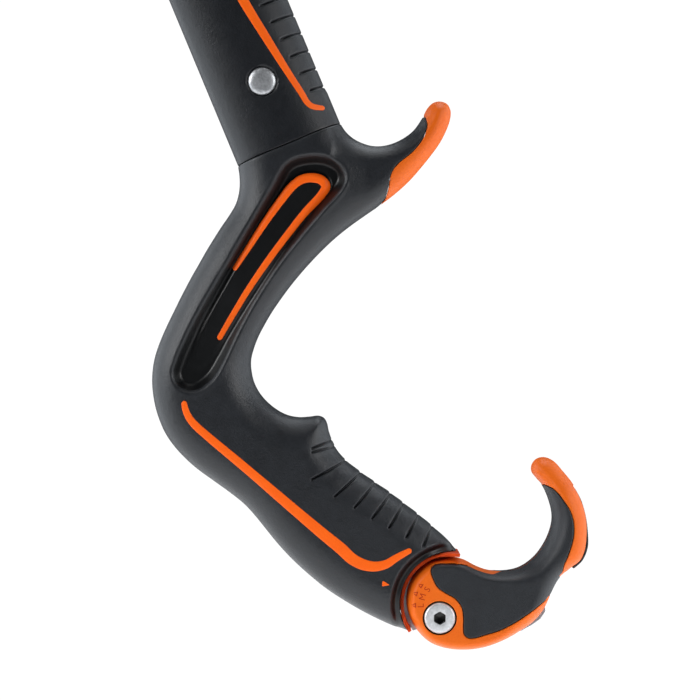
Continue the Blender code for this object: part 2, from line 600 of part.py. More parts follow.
pad_full_line = PAD_EDGE + [(57, -22.5), (62, -22), (66.5, -20.2), (70.6, -17.2), (74.2, -13.1), (76.4, -8.3),
                            (76.6, -4), (75.6, 0.5), (74.6, 3.6)]
bumper_line = [(86.2, 4.4), (88.4, 0.2), (89.9, -5), (90.6, -10), (90.6, -15.8), (88.8, -20.2), (85.8, -23)]
bumper_shape = strip_along(bumper_line, 0, 2.4)
bumper_room = strip_along([(85.8, 5.1)] + bumper_line[1:-1] + [(85.3, -23.4)], 1.8, 2.4 + GAP)
spike_shape = [(60.2, -30.5), (69.6, -28.8), (74.0, -31.4), (76.4, -35.2), (76.6, -37.8), (74.9, -40.3), (72.2, -42.3),
               (68.4, -44.4), (61, -45.6), (59.4, -41)]
dowel_at = [(67.5, -36.2), (84.2, -6.2)]
sweep = circle(PIVOT, 12.3, 24, 241, 452, False) + circle(PIVOT, 21, 20, 92, 241, False)
spike = plate("spike_plate", [spike_shape, circle(dowel_at[0], 1.8, 16)], -SPIKE_HALF_T, SPIKE_HALF_T, AXE, steel)

for side, tag in ((-1, "near"), (1, "far")):
    lo, hi = sorted((side * 0.15, side * 40))
    halfbox = plate("half", [[(0, -80), (140, -80), (140, 40), (0, 40)]], lo, hi, CUT)
    form = copy_of(pommel_full, "form", CUT)
    form = boolean(form, halfbox, "INTERSECT")
    shell = copy_of(form, f"pommel_shell_{tag}", AXE, orange)
    pad = copy_of(form, f"pommel_pad_{tag}", AXE, black_grip)
    lo, hi = sorted((side * 9.4, side * 40))
    pad_block = plate("pad_block", [grown(pad_full_line, -0.12)], lo, hi, CUT)
    lo, hi = sorted((side * 9.1, side * 40))
    pad_room = plate("pad_room", [grown(pad_full_line, 0.15)], lo, hi, CUT)
    pad = boolean(pad, pad_block, "INTERSECT")
    shell = boolean(shell, pad_room)
    shell = boolean(shell, plate("sweep", [sweep], -PLATE_HALF_T - GAP, PLATE_HALF_T + GAP, CUT))
    shell = boolean(shell, plate("spike_room", [grown(spike_shape, GAP)], -SPIKE_HALF_T - GAP, SPIKE_HALF_T + GAP, CUT))
    shell = boolean(shell, plate("bumper_room", [bumper_room], -6.3, 6.3, CUT))
    shell = boolean(shell, rod("hole", SCREW_AT, SCREW_R + 0.15, -30, 30, CUT, sides=24))
    for at in dowel_at:
        shell = boolean(shell, rod("hole", at, 1.8, -7.3, 7.3, CUT, sides=16))
    lo, hi = sorted((side * 10.5, side * 30))
    if side < 0:
        shell = boolean(shell, rod("hole", SCREW_AT, SCREW_HEAD_R + 0.35, lo, hi, CUT, sides=32))
    else:
        shell = boolean(shell, plate("nut_room", [circle(SCREW_AT, 6.1, 6)], lo, hi, CUT))
    bpy.data.objects.remove(form, do_unlink=True)

bumper = plate("hook_bumper", [bumper_shape], -6, 6, AXE, black_nylon)
for i, at in enumerate(dowel_at):
    rod(f"pommel_dowel_{i + 1}", at, 1.5, -7, 7, AXE, steel, sides=16)
screw = turned("pommel_screw", SCREW_AT,
               [(0, -14.3), (4.7, -14.3), (SCREW_HEAD_R, -13.8), (SCREW_HEAD_R, -10.8), (SCREW_R, -10.8),
                (SCREW_R, 13.2), (0, 13.2)], AXE, bright_steel, 24)
screw = boolean(screw, plate("hex", [circle(SCREW_AT, 2.31, 6)], -20, -11.8, CUT))
nut = plate("pommel_nut", [circle(SCREW_AT, 5.7, 6), circle(SCREW_AT, SCREW_R + GAP, 24)], 10.8, 14.0, AXE,
            bright_steel)

# ---- head ------------------------------------------------------------------
BLOCK = [(-17.2, -34), (17.2, -34), (17.6, -14), (24, -9), (36, -6), (40, -1), (40.5, 12), (37, 18), (26, 21.5),
         (4, 23), (-18, 22), (-28, 19.5), (-30, 15), (-30, -1), (-26, -7), (-18.5, -12)]
block = plate("head_block", [head_outline(BLOCK)], -HEAD_HALF_T, HEAD_HALF_T, AXE, dark_steel)
bev = block.modifiers.new("edge", "BEVEL")
bev.width = 2.0 * MM
bev.segments = 1
bev.limit_method = "ANGLE"
bev.angle_limit = math.radians(50)
block = to_mesh(block, AXE)
block = boolean(block, loft("block_bore", shaft_rings(spread(SHAFT_LENGTH - 46, SHAFT_LENGTH - 2.4, 4),
                                                      TUBE_HALF_W + GAP, TUBE_HALF_T + GAP, 2.6, 20), CUT))
block = boolean(block, plate("pick_slot", [head_outline([(-60, -2.3), (60, -2.3), (60, 60), (-60, 60)])],
                             -PICK_HALF_T - GAP, PICK_HALF_T + GAP, CUT))

PICK_TOP = [(-6, 20.5), (20, 20.6), (40, 19.4), (62, 14.5), (86, 6), (110, -5.5), (132, -19), (150, -33), (160, -43.5)]
PICK_UNDER = [(156, -43.6), (140, -34.6), (118, -24.6), (96, -16), (74, -8.6), (56, -3.6), (44, -1.6)]


def toothed(line, first, grow, depth):
    """Saw teeth along a line: upright faces towards the tip, pitch growing from the tip."""
    pts = smooth_line(line, 12)
    run = [0.0]
    for a, b in zip(pts, pts[1:]):
        run.append(run[-1] + (b - a).length)
    out = []
    s, pitch = 2.0, first

    def at(d):
        for k in range(len(run) - 1):
            if run[k + 1] >= d:
                f = (d - run[k]) / (run[k + 1] - run[k])
                p = pts[k].lerp(pts[k + 1], f)
                t = (pts[k + 1] - pts[k]).normalized()
                return p, Vector((-t.y, t.x))
        return pts[-1], Vector((0, 1))

    while s + pitch < run[-1] - 3:
        p, n = at(s)
        out.append(tuple(p))
        p, n = at(s + pitch * 0.28)
        out.append(tuple(p - n * depth))
        s += pitch
        pitch = min(pitch * grow, 7.2)
    p, n = at(s)
    out.append(tuple(p))
    out.append(tuple(pts[-1]))
    return out


under = toothed(PICK_UNDER, 4.6, 1.03, 2.0)
pick_outline = ([tuple(p) for p in smooth_line(PICK_TOP, 3)] + [(159.4, -46.2)] + under
                + [(42, -1.9), (-8, -1.9), (-8, 18)])
pick = plate("pick", [head_outline(pick_outline), circle(head_xy(*PICK_BOLT), BOLT_R + GAP, 24),
                      circle(head_xy(*WEIGHT_AT), 3.0, 20)],
             -PICK_HALF_T, PICK_HALF_T, AXE, steel)

hammer = plate("hammer", [head_outline([(-9.2, -1.9), (-9.2, 20), (-31, 19), (-31, -1.9)])],
               -PICK_HALF_T, PICK_HALF_T, AXE, steel)
face = plate("hammer_face", [head_outline([(-30.6, -1), (-30.6, 17), (-40, 16), (-48, 17.5), (-60, 18.5),
                                           (-60, -3.5), (-48, -2.5), (-40, -0.8)])], -10, 10, CUT)
bev = face.modifiers.new("edge", "BEVEL")
bev.width = 1.5 * MM
bev.segments = 2
bev.limit_method = "ANGLE"
bev.angle_limit = math.radians(50)
hammer = boolean(hammer, face, "UNION")
hammer = boolean(hammer, rod("hole", head_xy(*HAMMER_BOLT), BOLT_R + GAP, -30, 30, CUT, sides=24))

for label, at in (("pick", PICK_BOLT), ("hammer", HAMMER_BOLT)):
    spot = head_xy(*at)
    block = boolean(block, rod("hole", spot, BOLT_R + GAP, -30, 30, CUT, sides=24))
    block = boolean(block, rod("seat", spot, 7.4, -30, -HEAD_HALF_T + 3.4, CUT, sides=28))
    block = boolean(block, rod("seat", spot, 7.6, HEAD_HALF_T - 3.4, 30, CUT, sides=28))
    head = turned(f"{label}_bolt", spot, [(0, -13.6), (5.6, -13.6), (7.0, -12.6), (7.0, -9.9), (BOLT_R, -9.9),
                                          (BOLT_R, 13.4), (0, 13.4)], AXE, bright_steel, 28)
    head = boolean(head, plate("hex", [circle(spot, 3.46, 6)], -20, -11.2, CUT))
    plate(f"{label}_nut", [circle(spot, 7.2, 6), circle(spot, BOLT_R + GAP, 24)], 9.9, 13.8, AXE, bright_steel)

for i, (f, u) in enumerate(((-7.2, -23), (7.2, -23))):
    spot = head_xy(f, u)
    block = boolean(block, rod("hole", spot, 2.8, -30, 30, CUT, sides=20))
    tube = boolean(tube, rod("hole", spot, 2.8, -30, 30, CUT, sides=20))
    turned(f"head_rivet_{i + 1}", spot,
           [(0, -14.4), (2.2, -14.3), (3.8, -13.7), (4.0, -13.3), (2.5, -13.3), (2.5, 13.3), (4.0, 13.3),
            (3.8, 13.7), (2.2, 14.3), (0, 14.4)], AXE, bright_steel, 16)

wspot = head_xy(*WEIGHT_AT)
WEIGHT = [(43.5, 0), (43.5, 14.5), (48, 18.5), (60, 15.6), (67, 11.6), (69.5, 6), (66, 0.6), (58, -2.2), (48, -1.8)]
for side, tag in ((-1, "near"), (1, "far")):
    lo, hi = sorted((side * (PICK_HALF_T + GAP), side * 9.5))
    w = plate(f"pick_weight_{tag}", [head_outline(WEIGHT)], lo, hi, AXE, dark_steel)
    w = boolean(w, rod("hole", wspot, 3.0, -30, 30, CUT, sides=20))
    lo, hi = sorted((side * 6.4, side * 30))
    if side < 0:
        w = boolean(w, rod("seat", wspot, 5.2, lo, hi, CUT, sides=24))
    else:
        w = boolean(w, rod("seat", wspot, 5.9, lo, hi, CUT, sides=24))
head = turned("weight_screw", wspot, [(0, -9.8), (4.8, -9.8), (4.8, -6.7), (2.7, -6.7), (2.7, 9.0), (0, 9.0)], AXE,
              bright_steel, 24)
head = boolean(head, plate("hex", [circle(wspot, 2.31, 6)], -20, -7.9, CUT))
plate("weight_nut", [circle(wspot, 5.5, 6), circle(wspot, 3.0, 20)], 6.7, 9.6, AXE, bright_steel)

# ---- finish ----------------------------------------------------------------
joint = bpy.data.objects.new("pommel_pivot", None)
joint.location = (PIVOT[0] * MM, 0, PIVOT[1] * MM)
AXE.objects.link(joint)
bpy.context.view_layer.update()
for ob in list(AXE.objects):
    if ob.type != "MESH":
        continue
    tidy = bmesh.new()
    tidy.from_mesh(ob.data)
    bmesh.ops.dissolve_limit(tidy, angle_limit=math.radians(1.0), verts=tidy.verts, edges=tidy.edges)
    bmesh.ops.triangulate(tidy, faces=tidy.faces)
    tidy.to_mesh(ob.data)
    tidy.free()
    if ob.name.startswith(("pommel_", "hook_bumper", "spike_plate")):
        ob.parent = joint
        ob.matrix_parent_inverse = joint.matrix_world.inverted()
    ob.data.shade_smooth()
    ob.data.set_sharp_from_angle(angle=math.radians(35))
for ob in CUT.objects:
    ob.hide_render = True
    ob.display_type = "WIRE"
bpy.context.view_layer.update()
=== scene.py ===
"""Looks of the technical ice axe: moulded grip with inlays, adjustable pommel, shaft, head and pick."""
import json
import math

import bmesh
import bpy
import numpy as np
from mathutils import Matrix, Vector


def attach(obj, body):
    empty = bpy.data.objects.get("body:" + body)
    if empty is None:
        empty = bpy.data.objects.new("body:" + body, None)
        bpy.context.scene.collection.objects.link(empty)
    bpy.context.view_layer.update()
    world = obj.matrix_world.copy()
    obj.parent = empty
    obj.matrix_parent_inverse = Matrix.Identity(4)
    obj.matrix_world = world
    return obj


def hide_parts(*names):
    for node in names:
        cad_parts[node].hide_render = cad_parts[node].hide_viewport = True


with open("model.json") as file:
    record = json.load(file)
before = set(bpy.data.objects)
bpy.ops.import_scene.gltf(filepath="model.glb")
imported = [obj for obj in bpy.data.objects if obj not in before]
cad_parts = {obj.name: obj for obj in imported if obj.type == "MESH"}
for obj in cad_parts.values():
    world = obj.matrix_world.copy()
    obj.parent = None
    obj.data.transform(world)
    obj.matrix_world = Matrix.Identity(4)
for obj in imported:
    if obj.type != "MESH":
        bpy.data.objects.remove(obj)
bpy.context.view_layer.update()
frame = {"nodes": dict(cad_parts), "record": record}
NODES = frame["nodes"]
BODIES = (frame["record"].get("behaviour") or {}).get("bodies") or {}
MM = 0.001
VOX = 0.42          # grid of the moulded forms, mm
VOX_P = 0.34        # grid of the pommel's forms, mm

# ============================================================== outlines (mm)
SEAM = (-10.4, 120.5)
LEAN = math.radians(-22.6)
UP = np.array([math.sin(LEAN), math.cos(LEAN)])
ACROSS = np.array([math.cos(LEAN), -math.sin(LEAN)])
PIVOT = (44.4, -34.5)
SCREW_AT = (40.3, -38.9)
RIVET_AT = (-19.3, 141.2)
SOCKET_R = 17.4

GRIP_LEFT = [(-31.3, 121.7), (-29.6, 117.3), (-27.9, 113.2), (-27.3, 108.8), (-27.5, 104.7), (-28.6, 100.6),
             (-30.9, 96.6), (-33.7, 92.5), (-36.3, 88.4), (-38.8, 84.3), (-41.1, 80.2), (-43.4, 76.2), (-45.6, 72.1),
             (-47.7, 68), (-49.7, 63.9), (-51.7, 59.8), (-53.5, 55.8), (-55.1, 51.7), (-56.3, 47.6), (-56.9, 43.5),
             (-57, 39.4), (-56.6, 35.4), (-55.8, 31.3), (-54.5, 27.2), (-52.7, 23.1), (-50, 19), (-46.5, 15),
             (-42, 10.9), (-36.4, 6.8), (-30.7, 2.7), (-25.6, -1.4), (-21.9, -5.4), (-18.6, -9.5), (-15.3, -13.6),
             (-11.7, -17.7), (-7.6, -21.8), (-3.1, -25.8), (2, -29.9), (8.2, -34), (15.3, -38.1), (23.4, -42),
             (27.5, -43.6), (34, -45.9), (40.8, -48.3)]
GRIP_RIGHT = [(57.8, -29.9), (52.7, -24.1), (48.3, -19.2), (46.9, -17.4), (43.5, -13.6), (39.1, -9.5), (34.3, -5.4),
              (29.2, -1.4), (23.8, 2.7), (17.9, 6.8), (12.2, 10.9), (7.3, 15.2), (4.3, 20), (3, 23.5), (2.4, 26.2),
              (1.4, 27.9), (-0.4, 28.7), (-3.4, 28.4), (-7.1, 28.2), (-11.2, 29), (-15.4, 31.3), (-19.5, 35.1),
              (-22.1, 39.4), (-23.2, 43.5), (-23.4, 47.6), (-22.4, 51.7), (-20.8, 55.8), (-18.7, 59.8),
              (-16.3, 63.9), (-13.5, 68), (-10.5, 72.1), (-7.2, 76.2), (-3.7, 80.2), (0.2, 84.3), (4.5, 88.4),
              (9.5, 92.5), (15.2, 96.6), (21, 100.6), (26.3, 104.7), (30.7, 108.8), (34.3, 112.9), (37.6, 117),
              (40.5, 121), (42.7, 125.1), (44.1, 128.9), (44.4, 132.1), (43.2, 134.5), (40.8, 135.4),
              (38.4, 134.9), (36.5, 133.1), (34.5, 129.4), (31.5, 125.3), (27.3, 122.3), (23.3, 120.7),
              (20.2, 120.2), (17.2, 120.4), (14.3, 121.3), (11.4, 122.8), (9, 124.9), (7.1, 127.7), (5.3, 132),
              (3.7, 136)]
CAP_EDGE = [(35.4, 133), (35.4, 131), (36.1, 129.5), (36.6, 127.6), (36.2, 125.6), (35.3, 123.3), (33.6, 120.8),
            (31.6, 118.5), (29.3, 116.6), (27.1, 114.9), (25.1, 112.6), (24, 110.1), (23.6, 107.5), (23, 105),
            (22.2, 102.7), (20.6, 100.8), (18, 98.4), (14, 95)]
CAP_OUTER = [(22, 88), (60, 92), (60, 148), (34, 148)]
RECESS = [(-10.2, 113.9), (-15.6, 105.4), (-20.4, 97.6), (-24.6, 90.4), (-30.6, 79.9), (-36, 70.8), (-41, 62),
          (-45.2, 53.6), (-48, 47), (-49, 43.2), (-48, 40), (-45.4, 38.2), (-42.4, 38.2), (-39.6, 39.8),
          (-36.7, 42.6), (-33.3, 48.4), (-29.4, 56.4), (-23.4, 67.6), (-15.3, 80.2), (-6.1, 92), (1.2, 100.6),
          (5.6, 105.4), (7.6, 109), (6.8, 112.6), (2.6, 115.4), (-3.4, 116)]
ISLAND = [(-29.2, 79.6), (-22.4, 91), (-15.6, 101.4), (-10.6, 108), (-6.4, 111), (-1.8, 111.5), (2.3, 109.8),
          (3.3, 106.8), (0.6, 103), (-4.2, 97), (-9.4, 90.2), (-15.4, 81.2), (-22.2, 70.6), (-28.2, 61),
          (-33, 53.6), (-36.4, 48.6), (-39.6, 45.4), (-42.6, 45), (-44, 47.4), (-43, 52.2), (-39.4, 60.8),
          (-34.6, 70)]
HAIRPIN = [(-29.5, 78.2), (-24.1, 86.4), (-18.8, 94.5), (-13.4, 102), (-9.2, 107.1), (-6.1, 109.2), (-2.5, 109.7),
           (0.5, 108.9), (2.0, 106.8), (0.5, 103.9), (-5.1, 97.9), (-10.5, 91.1), (-17.4, 81.9), (-24.6, 71.4),
           (-30.2, 62.2), (-34.7, 54.5)]
HAIRPIN_W = [1.8, 2.2, 2.6, 2.9, 3.1, 3.2, 3.3, 3.3, 3.2, 2.9, 2.6, 2.4, 2.3, 2.1, 2.0, 1.8]
GRIP_STRIPE = [(-46.3, 33.7), (-45.8, 30.9), (-44.4, 27.8), (-42.2, 25.2), (-38.4, 21.8), (-29.3, 14.2),
               (-21.7, 7.8), (-14.1, 1.3), (-6.5, -5.2), (1.1, -11.6), (7.2, -16.6), (10.9, -20), (14.8, -22),
               (18.6, -22.6), (22.3, -21.9), (26.1, -19.6), (31.1, -16.9)]
GRIP_STRIPE_W = [1.9, 2.2, 2.5, 2.7, 2.8, 3.0, 3.1, 3.4, 3.6, 3.9, 4.1, 4.0, 3.8, 3.4, 3.0, 2.5, 1.8]
POINTER = [(21.25, -27.4), (21.1, -29.4), (23.8, -28.9)]
GROOVES = [((-2.7, 17.5), (2.9, 19.9)), ((-2.7, 16.2), (3.6, 17.9)), ((-2.7, 7.0), (6.4, 12.1)),
           ((5.1, 1.2), (12.2, 7.9)), ((11.8, -2.6), (18.4, 5.4)), ((17.8, -6.3), (23.6, 1.8)),
           ((23.6, -9.4), (28, -1.8)), ((29.4, -12.8), (33.4, -5.0)), ((35.2, -15.8), (38, -9.2))]
POMMEL = [(29.5, -35.1), (29.8, -31.7), (30.9, -28.4), (32.7, -25.6), (35.1, -23.2), (38, -21.4), (41.3, -20.6),
          (45, -20.35), (49.2, -20.9), (53, -22.5), (57, -23.9), (62.1, -24.3), (67.7, -23.1), (72.7, -19.6),
          (76.4, -14.6), (78.6, -9.1), (79, -5), (77.9, 0), (75.8, 4.8), (73.4, 7.6), (71.9, 9.7), (72, 12),
          (73.6, 14), (76.2, 14.6), (79.2, 13.4), (82.4, 10), (86, 5.4), (88.7, 0.1), (90.2, -5), (90.6, -10.2),
          (89.9, -16.7), (88.2, -20.4), (84.9, -23), (81.2, -26), (79, -29.6), (77.6, -33.2), (75.7, -37),
          (72.7, -40.6), (67.5, -44.3), (62.2, -47.2), (55.8, -49.5), (49.3, -50.4), (42.8, -49.9), (37.4, -48),
          (33.7, -45.3), (31, -41.4), (29.9, -38.3)]
PAD = [(76.2, 4.7), (79, 3.9), (80.9, 2.3), (82.6, 0.1), (85.1, -3.9), (86.3, -8.5), (86, -13.5), (84.4, -18.7),
       (83.0, -22.4), (82.8, -24.9), (82.9, -27.2), (80.9, -30.2), (78.6, -33.0), (75.1, -35.6), (71.2, -38.4),
       (66.1, -41.8), (60.9, -44.4), (55.7, -46), (52.6, -46.9), (50.4, -46.9), (49, -45.6), (48.8, -43.4),
       (48.8, -39.4), (48.2, -36.4), (46, -33.5), (42.7, -31.6), (40.1, -29.7), (38.6, -27), (37.8, -24.6),
       (38.2, -22.9), (40, -22.1), (43.2, -21.9), (47, -22.1), (50.4, -22.8), (53.6, -24.1), (57, -25),
       (60, -25.1)]
PAD_INNER = [(61.5, -22), (67, -19.5), (71, -16), (74, -11.5), (76.5, -5), (75.5, 0), (74, 3.4)]


def inset(p, k=1.0):
    """Details on the side faces sit 1.4 % closer to the middle of the grip than the outline's own scale."""
    f = 1 - 0.0138 * k
    return (10.2 + f * (p[0] - 10.2), 51 + f * (p[1] - 51))


RECESS, ISLAND, HAIRPIN, GRIP_STRIPE, POINTER = ([inset(p) for p in q] for q in (RECESS, ISLAND, HAIRPIN,
                                                                                 GRIP_STRIPE, POINTER))
GROOVES = [(inset(a), inset(b, 0.5)) for a, b in GROOVES]
CAP_EDGE = [inset(p, min(1, min(i, len(CAP_EDGE) - 1 - i) / 4)) for i, p in enumerate(CAP_EDGE)]
PAD = [inset(p) for p in PAD]
POMMEL = [inset(p, 1.0 if i < 8 or i > 44 else 0.5 if i in (8, 44) else 0) for i, p in enumerate(POMMEL)]


# ============================================================== field helpers
def curve(points, step=0.5, closed=False):
    """Smooth line through points, sampled about every step."""
    pts = [np.array(p, float) for p in points]
    n = len(pts)
    out = []
    spans = n if closed else n - 1
    for i in range(spans):
        p1, p2 = pts[i], pts[(i + 1) % n]
        p0 = pts[(i - 1) % n] if closed or i > 0 else 2 * p1 - p2
        p3 = pts[(i + 2) % n] if closed or i + 2 < n else 2 * p2 - p1
        d = max(1, int(round(np.linalg.norm(p2 - p1) / step)))
        t0, t1, t2, t3 = 0.0, *np.cumsum([max(np.linalg.norm(b - a), 1e-6) ** 0.5
                                          for a, b in ((p0, p1), (p1, p2), (p2, p3))])
        for k in range(d):
            t = t1 + (t2 - t1) * k / d
            a1 = (t1 - t) / (t1 - t0) * p0 + (t - t0) / (t1 - t0) * p1
            a2 = (t2 - t) / (t2 - t1) * p1 + (t - t1) / (t2 - t1) * p2
            a3 = (t3 - t) / (t3 - t2) * p2 + (t - t2) / (t3 - t2) * p3
            b1 = (t2 - t) / (t2 - t0) * a1 + (t - t0) / (t2 - t0) * a2
            b2 = (t3 - t) / (t3 - t1) * a2 + (t - t1) / (t3 - t1) * a3
            out.append((t2 - t) / (t2 - t1) * b1 + (t - t1) / (t2 - t1) * b2)
    if not closed:
        out.append(pts[-1])
    return np.array(out)


def signed_distance(x, z, poly):
    """Distance to a closed outline, positive inside."""
    best = np.full(x.shape, 1e9, np.float64)
    odd = np.zeros(x.shape, bool)
    n = len(poly)
    for i in range(n):
        ax, az = poly[i]
        bx, bz = poly[(i + 1) % n]
        dx, dz = bx - ax, bz - az
        ll = dx * dx + dz * dz
        if ll < 1e-12:
            continue
        px, pz = x - ax, z - az
        t = np.clip((px * dx + pz * dz) / ll, 0, 1)
        d = (px - t * dx) ** 2 + (pz - t * dz) ** 2
        np.minimum(best, d, out=best)
        if az != bz:
            hit = ((az > z) != (bz > z)) & (x < dx * (z - az) / dz + ax)
            odd ^= hit
    d = np.sqrt(best)
    return np.where(odd, d, -d)


def segment_distance(x, z, a, b):
    """Distance to a line piece and how far along it (0 to 1)."""
    dx, dz = b[0] - a[0], b[1] - a[1]
    t = ((x - a[0]) * dx + (z - a[1]) * dz) / (dx * dx + dz * dz)
    tc = np.clip(t, 0, 1)
    return np.hypot(x - a[0] - tc * dx, z - a[1] - tc * dz), t


def smooth(v, lo, hi):
    t = np.clip((v - lo) / (hi - lo), 0, 1)
    return t * t * (3 - 2 * t)


def blur(a, r):
    """Box blur, three times, on a grid."""
    for _ in range(3):
        for ax in (0, 1):
            p = np.concatenate([np.repeat(a.take([0], ax), r + 1, ax), a, np.repeat(a.take([-1], ax), r, ax)], ax)
            c = np.cumsum(p, ax)
            n = a.shape[ax]
            hi = c.take(range(2 * r + 1, 2 * r + 1 + n), ax)
            lo = c.take(range(0, n), ax)
            a = (hi - lo) / (2 * r + 1)
    return a


class Field:
    """A quantity on a square grid over the XZ plane, read with cubic interpolation."""

    def __init__(self, box, h, fn):
        self.x0, self.z0, x1, z1 = box
        self.h = h
        self.xs = self.x0 + h * np.arange(int((x1 - self.x0) / h) + 2)
        self.zs = self.z0 + h * np.arange(int((z1 - self.z0) / h) + 2)
        gx, gz = np.meshgrid(self.xs, self.zs, indexing="ij")
        self.a = fn(gx, gz)

    def at(self, x, z):
        u = (np.asarray(x) - self.x0) / self.h
        v = (np.asarray(z) - self.z0) / self.h
        i = np.clip(np.floor(u).astype(int), 1, len(self.xs) - 3)
        j = np.clip(np.floor(v).astype(int), 1, len(self.zs) - 3)
        fu, fv = np.clip(u - i, 0, 1), np.clip(v - j, 0, 1)

        def w(t):
            return (-0.5 * t + t * t - 0.5 * t ** 3, 1 - 2.5 * t * t + 1.5 * t ** 3,
                    0.5 * t + 2 * t * t - 1.5 * t ** 3, -0.5 * t * t + 0.5 * t ** 3)

        wu, wv = w(fu), w(fv)
        out = 0
        for a in range(4):
            row = 0
            for b in range(4):
                row = row + self.a[i + a - 1, j + b - 1] * wv[b]
            out = out + row * wu[a]
        return out


def nets(fn, box, h):
    """Closed surface where fn(x, y, z) is 0 (positive inside), as vertices and quads on a grid."""
    (x0, y0, z0), (x1, y1, z1) = box
    xs = x0 + h * np.arange(int((x1 - x0) / h) + 2)
    ys = y0 + h * np.arange(int((y1 - y0) / h) + 2)
    zs = z0 + h * np.arange(int((z1 - z0) / h) + 2)
    f = fn(xs[:, None, None], ys[None, :, None], zs[None, None, :]).astype(np.float32)
    ins = f > 0
    nx, ny, nz = f.shape
    cnt = np.zeros((nx - 1, ny - 1, nz - 1), np.int8)
    for dx in (0, 1):
        for dy in (0, 1):
            for dz in (0, 1):
                cnt += ins[dx:nx - 1 + dx, dy:ny - 1 + dy, dz:nz - 1 + dz]
    act = (cnt > 0) & (cnt < 8)
    ci, cj, ck = np.nonzero(act)
    idx = np.full(act.shape, -1, np.int32)
    idx[ci, cj, ck] = np.arange(len(ci))
    pos = np.zeros((len(ci), 3))
    num = np.zeros(len(ci))
    corners = [(a, b, c) for a in (0, 1) for b in (0, 1) for c in (0, 1)]
    for c0 in corners:
        for ax in range(3):
            if c0[ax] == 1:
                continue
            c1 = list(c0)
            c1[ax] = 1
            a = f[ci + c0[0], cj + c0[1], ck + c0[2]]
            b = f[ci + c1[0], cj + c1[1], ck + c1[2]]
            m = (a > 0) != (b > 0)
            t = np.where(m, a / np.where(m, a - b, 1), 0)
            for k in range(3):
                pos[:, k] += m * (c0[k] + (t if k == ax else 0))
            num += m
    pos /= num[:, None]
    verts = np.stack([xs[ci] + pos[:, 0] * h, ys[cj] + pos[:, 1] * h, zs[ck] + pos[:, 2] * h], 1)
    quads = []
    for ax in range(3):
        sl0 = [slice(1, -1)] * 3
        sl1 = [slice(1, -1)] * 3
        sl0[ax] = slice(0, -1)
        sl1[ax] = slice(1, None)
        a, b = ins[tuple(sl0)], ins[tuple(sl1)]
        m = a != b
        off = [1, 1, 1]
        off[ax] = 0
        gi = [g + o for g, o in zip(np.nonzero(m), off)]
        p, q = [(1, 2), (2, 0), (0, 1)][ax]
        ring = []
        for dp, dq in ((-1, -1), (0, -1), (0, 0), (-1, 0)):
            cell = [gi[0], gi[1], gi[2]]
            cell[p] = cell[p] + dp
            cell[q] = cell[q] + dq
            ring.append(idx[cell[0], cell[1], cell[2]])
        quad = np.stack(ring, 1)
        flip = ~a[m]
        quad[flip] = quad[flip][:, ::-1]
        quads.append(quad)
    quads = np.concatenate(quads)
    return verts, quads


def settle(fn, v, h, rounds=3, reach=0.6):
    """Moves vertices onto the surface fn = 0 along its gradient."""
    e = 0.02
    for _ in range(rounds):
        f = fn(v[:, 0], v[:, 1], v[:, 2])
        g = np.stack([(fn(v[:, 0] + e * (k == 0), v[:, 1] + e * (k == 1), v[:, 2] + e * (k == 2))
                       - fn(v[:, 0] - e * (k == 0), v[:, 1] - e * (k == 1), v[:, 2] - e * (k == 2))) / (2 * e)
                      for k in range(3)], 1)
        gg = np.maximum((g * g).sum(1), 1e-4)
        step = -g * (f / gg)[:, None]
        ln = np.linalg.norm(step, axis=1)
        step *= np.minimum(1, reach * h / np.maximum(ln, 1e-9))[:, None]
        v = v + step
    return v


def make(name, verts, faces, mat, body, node, sharp=None, clean=False):
    mesh = bpy.data.meshes.new(name)
    mesh.from_pydata((np.asarray(verts) * MM).tolist(), [], [tuple(f) for f in np.asarray(faces).tolist()]
                     if isinstance(faces, np.ndarray) else faces)
    mesh.update()
    ob = bpy.data.objects.new(name, mesh)
    bpy.context.scene.collection.objects.link(ob)
    if clean:
        bm = bmesh.new()
        bm.from_mesh(mesh)
        bmesh.ops.recalc_face_normals(bm, faces=bm.faces)
        bm.to_mesh(mesh)
        bm.free()
    mesh.shade_smooth()
    if sharp:
        mesh.set_sharp_from_angle(angle=math.radians(sharp))
    mesh.materials.append(mat)
    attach(ob, body)
    if node:
        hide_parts(*([node] if isinstance(node, str) else node))
    return ob


def moulded(name, fn, box, h, mat, body, node, refine=None, sharp=None):
    """A form from its field: grid surface, settled onto the field, finer where refine says so."""
    v, q = nets(fn, box, h)
    v = settle(fn, v, h)
    if refine is not None:
        v, q = split_faces(v, q, refine)
        v = settle(fn, v, h * 0.5, 3)
    return make(name, v, q, mat, body, node, sharp)


